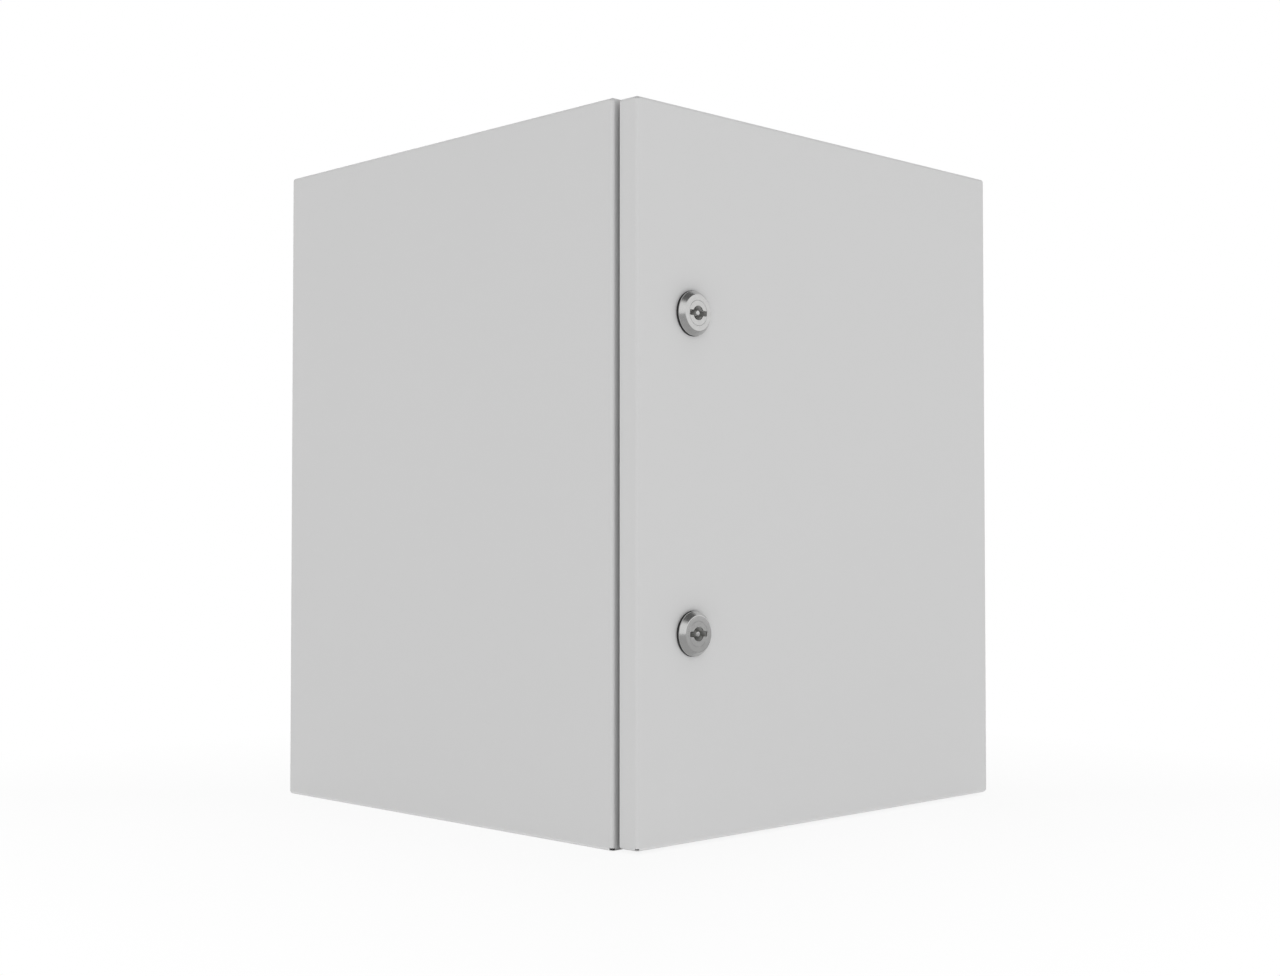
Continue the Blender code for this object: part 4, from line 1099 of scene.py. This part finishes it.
def makeBarrel(side):
    # the turning core: key socket with two bits and a pin in front, a square for the cam behind
    node = f"lock_barrel_{side}"
    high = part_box(node)[1]
    place = lockPlaces[side]
    centre = (place.x, place.z)
    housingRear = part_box(f"lock_housing_{side}")[1].y
    rear = housingRear - lock["tail"] - seat - place.y
    edge = barrel["edge"]
    radius = barrel["radius"]
    shaft = barrel["shaft"]
    profile = [
        (radius - edge, 0), (radius, edge), (radius, rear - edge), (radius - edge, rear),
        (shaft, rear), (shaft, housingRear - place.y - edge), (shaft - edge, housingRear - place.y)]
    core = turned("lockBarrel_" + side, profile, place, forwards, 96)
    half = barrel["square"] / 2
    squareEnd = roundedOutline(half, half, barrel["squareCorner"], 3, centre)
    boolean(core, "UNION", slab("square", squareEnd, housingRear - lock["tail"] / 2, high.y))
    keyEnd = place.y + barrel["keyDepth"]
    bits = roundedOutline(barrel["bitHalfSpan"], barrel["bitHeight"] / 2, barrel["bitCorner"], 4, centre)
    boolean(
        core, "DIFFERENCE",
        slab("key bore", circle(centre, barrel["keyBore"], 64), place.y - overrun, keyEnd),
        slab("key bits", bits, place.y - overrun, keyEnd - seat))
    tip = barrel["keyPin"]
    deep = barrel["keyDepth"] - barrel["pinRecess"] + overrun
    crowned = [(tip * 0.55, 0), (tip * 0.9, 0.15 * mm), (tip, barrel["pinCrown"]), (tip, deep)]
    pin = turned("key pin", crowned, place + Vector((0, barrel["pinRecess"], 0)), forwards, 40)
    boolean(core, "UNION", pin)
    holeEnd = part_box(f"lock_cam_screw_{side}")[0].y - barrel["screwRoom"]
    hole = slab("screw hole", circle(centre, barrel["screwHole"], 32), holeEnd, high.y + overrun)
    boolean(core, "DIFFERENCE", hole)
    finishPiece(core, f"lock_{side}", "nickel_plated_zinc", node, finish=barrelFinish)


def makeCam(side):
    # a stamped steel lever with a round end, hanging from the barrel's square
    node = f"lock_cam_{side}"
    low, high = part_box(node)
    place = lockPlaces[side]
    half = cam["width"] / 2
    rim = half / 2
    tip = place.z - cam["reach"]
    halfTurn = [math.radians(10 * step) for step in range(19)]
    quarter = [math.radians(15 * step) for step in range(7)]
    top = [(place.x + half * math.cos(a), place.z + half * math.sin(a)) for a in halfTurn]
    left = [(place.x - half + rim - rim * math.cos(a), tip + rim - rim * math.sin(a)) for a in quarter]
    right = [(2 * place.x - x, z) for x, z in reversed(left)]
    lever = slab("lockCam_" + side, top + left + right, low.y, high.y)
    halfHole = barrel["square"] / 2 + seat
    hole = roundedOutline(halfHole, halfHole, cam["holeCorner"], 3, (place.x, place.z))
    boolean(lever, "DIFFERENCE", slab("square hole", hole, low.y - overrun, high.y + overrun))
    softenEdges(lever, cam["edge"])
    finishPiece(lever, f"lock_{side}", "zinc_plated_steel", node)


def makeCamScrew(side):
    # hexagon head on its flange behind the cam, and the shank in the barrel
    node = f"lock_cam_screw_{side}"
    low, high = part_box(node)
    place = lockPlaces[side]
    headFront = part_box(f"lock_cam_{side}")[1].y + seat
    head = grown(
        "lockCamScrew_" + side, hexHeads, [(place.x, headFront, place.z)], height=high.y - headFront,
        flats=camScrew["flats"], flangeRadius=(high.x - low.x) / 2, flange=camScrew["flange"],
        bore=camScrew["dish"], boreDepth=camScrew["dishDepth"], turn=towardsWall,
        spin=(0, 0, camScrew["spin"]))
    radius = camScrew["shank"]
    bevel = camScrew["shankBevel"]
    profile = [(radius - bevel, 0), (radius, bevel), (radius, headFront + camScrew["overlap"] - low.y)]
    shank = turned("shank", profile, (place.x, low.y, place.z), forwards, 36)
    boolean(head, "UNION", shank)
    finishPiece(head, f"lock_{side}", "zinc_plated_steel", node)


for side in sides:
    makeHousing(side)
    makeLockSeal(side)
    makeBarrel(side)
    makeCam(side)
    makeCamScrew(side)
makeSleeveThreads()
makeNuts("lockNuts", [f"lock_nut_{side}" for side in sides], lockNut, 1, 1, towardsWall, "door")
print("locks made")

# Camera, lamps and a white studio. A lamp that isn't mirrored leaves no bright patch in metal.
camera = {"place": (-1.0123, -1.0258, 0.2058), "yaw": 44.587, "pitch": 1.638, "lens": 50, "sensor": 36}
lamps = {
    "key": {"place": (-1.6, -2.4, 1.9), "size": 2.0, "power": 12, "mirrored": False},
    "top": {"place": (0.0, 0.0, 3.2), "size": 3.0, "power": 29, "mirrored": False},
    "back": {"place": (1.4, 2.6, 1.8), "size": 2.0, "power": 13, "mirrored": True}}
surround = {
    "light": 0.45, "tableLight": 0.76, "tableFade": 0.002, "floorShadow": 0.11, "shadowReach": 0.02,
    "whiteFrom": 0.4, "ceiling": 0.14, "ceilingFrom": 0.70, "ceilingWhole": 0.86, "mirroredFloor": 0.45}
white = (1, 1, 1, 1)


def makeCamera():
    data = bpy.data.cameras.new("camera")
    data.lens = camera["lens"]
    data.sensor_width = camera["sensor"]
    obj = bpy.data.objects.new("camera", data)
    obj.location = camera["place"]
    obj.rotation_euler = (math.radians(90 + camera["pitch"]), 0, -math.radians(camera["yaw"]))
    bpy.context.scene.collection.objects.link(obj)
    bpy.context.scene.camera = obj


def makeLamps():
    middle = (cadLow + cadHigh) / 2
    for name, lamp in lamps.items():
        data = bpy.data.lights.new(name, "AREA")
        data.size = lamp["size"]
        data.energy = lamp["power"]
        obj = bpy.data.objects.new(name, data)
        obj.location = lamp["place"]
        obj.visible_glossy = lamp["mirrored"]
        obj.rotation_euler = (middle - Vector(lamp["place"])).to_track_quat("-Z", "Y").to_euler()
        bpy.context.scene.collection.objects.link(obj)


def seenDirectly(tree):
    # First, 1 for what the camera, a mirror or glass sees and 0 for light on the way to a
    # surface. Second, 1 for what a mirror sees.
    path = addNode(tree, "ShaderNodeLightPath").outputs
    indirect = {0: path["Is Glossy Ray"], 1: path["Is Transmission Ray"]}
    mirrored = addNode(tree, "ShaderNodeMath", indirect, operation="MAXIMUM")
    seen = addNode(tree, "ShaderNodeMath", {0: path["Is Camera Ray"], 1: mirrored}, operation="MAXIMUM")
    return seen, path["Is Glossy Ray"]


def makeWorld():
    # White all round. Metal mirrors it with a darker ceiling, which draws the edges of turned pieces.
    world = bpy.data.worlds.new("white studio")
    world.use_nodes = True
    tree = world.node_tree
    tree.nodes.clear()
    direction = addNode(tree, "ShaderNodeTexCoord").outputs["Generated"]
    up = addNode(tree, "ShaderNodeSeparateXYZ", {0: direction}).outputs["Z"]
    overhead = blend(tree, up, 0, 1 - surround["ceiling"], surround["ceilingFrom"], surround["ceilingWhole"])
    seen, glossy = seenDirectly(tree)
    dimmed = addNode(tree, "ShaderNodeMath", {0: overhead, 1: glossy}, operation="MULTIPLY")
    strength = addNode(tree, "ShaderNodeMath", {0: 1, 1: dimmed}, operation="SUBTRACT")
    lights = addNode(tree, "ShaderNodeBackground", {"Color": white, "Strength": surround["light"]})
    shows = addNode(tree, "ShaderNodeBackground", {"Color": white, "Strength": strength})
    both = addNode(tree, "ShaderNodeMixShader", {0: seen, 1: lights, 2: shows})
    addNode(tree, "ShaderNodeOutputWorld", {"Surface": both})
    bpy.context.scene.world = world


def makeFloor():
    bm = bmesh.new()
    bmesh.ops.create_grid(bm, x_segments=1, y_segments=1, size=8)
    floor = meshObject("studioFloor", bm)
    floor.location = (0, 0, cadLow.z)
    material = bpy.data.materials.new("white_studio_floor")
    material.use_nodes = True
    tree = material.node_tree
    tree.nodes.clear()
    paint = addNode(tree, "ShaderNodeBsdfDiffuse", {"Color": linear("f4f4f4")})
    seen, glossy = seenDirectly(tree)
    glow = addNode(
        tree, "ShaderNodeEmission",
        {"Color": white, "Strength": blend(tree, glossy, 1, surround["mirroredFloor"], 0, 1)})
    # how far outside the cabinet's square foot
    place = addNode(tree, "ShaderNodeTexCoord").outputs["Object"]
    middle = (0, (doorLow.y + bodyHigh.y) / 2, 0)
    offset = addNode(tree, "ShaderNodeVectorMath", {0: place, 1: middle}, operation="SUBTRACT")
    outwards = addNode(tree, "ShaderNodeVectorMath", {0: offset}, operation="ABSOLUTE")
    across = addNode(tree, "ShaderNodeSeparateXYZ", {0: outwards}).outputs
    farther = addNode(tree, "ShaderNodeMath", {0: across["X"], 1: across["Y"]}, operation="MAXIMUM")
    away = addNode(tree, "ShaderNodeMath", {0: farther, 1: halfWidth}, operation="SUBTRACT")
    # the table's own light evens out the walls, and is whole from the cabinet's foot outwards
    lit = blend(tree, away, 0, surround["tableLight"], -surround["tableFade"], 0)
    unseen = blend(tree, seen, lit, 0, 0, 1)
    table = addNode(tree, "ShaderNodeAddShader", {
        0: paint, 1: addNode(tree, "ShaderNodeEmission", {"Color": white, "Strength": unseen})})
    # near the cabinet the floor keeps part of its shadow, and further out it runs into the white
    whiteness = blend(
        tree, away, 1 - surround["floorShadow"], 1, surround["shadowReach"], surround["whiteFrom"])
    share = addNode(tree, "ShaderNodeMath", {0: seen, 1: whiteness}, operation="MULTIPLY")
    both = addNode(tree, "ShaderNodeMixShader", {0: share, 1: table, 2: glow})
    addNode(tree, "ShaderNodeOutputMaterial", {"Surface": both})
    floor.data.materials.append(material)


makeCamera()
makeLamps()
makeWorld()
makeFloor()
bpy.context.scene.view_settings.view_transform = "Standard"
print("stage made")
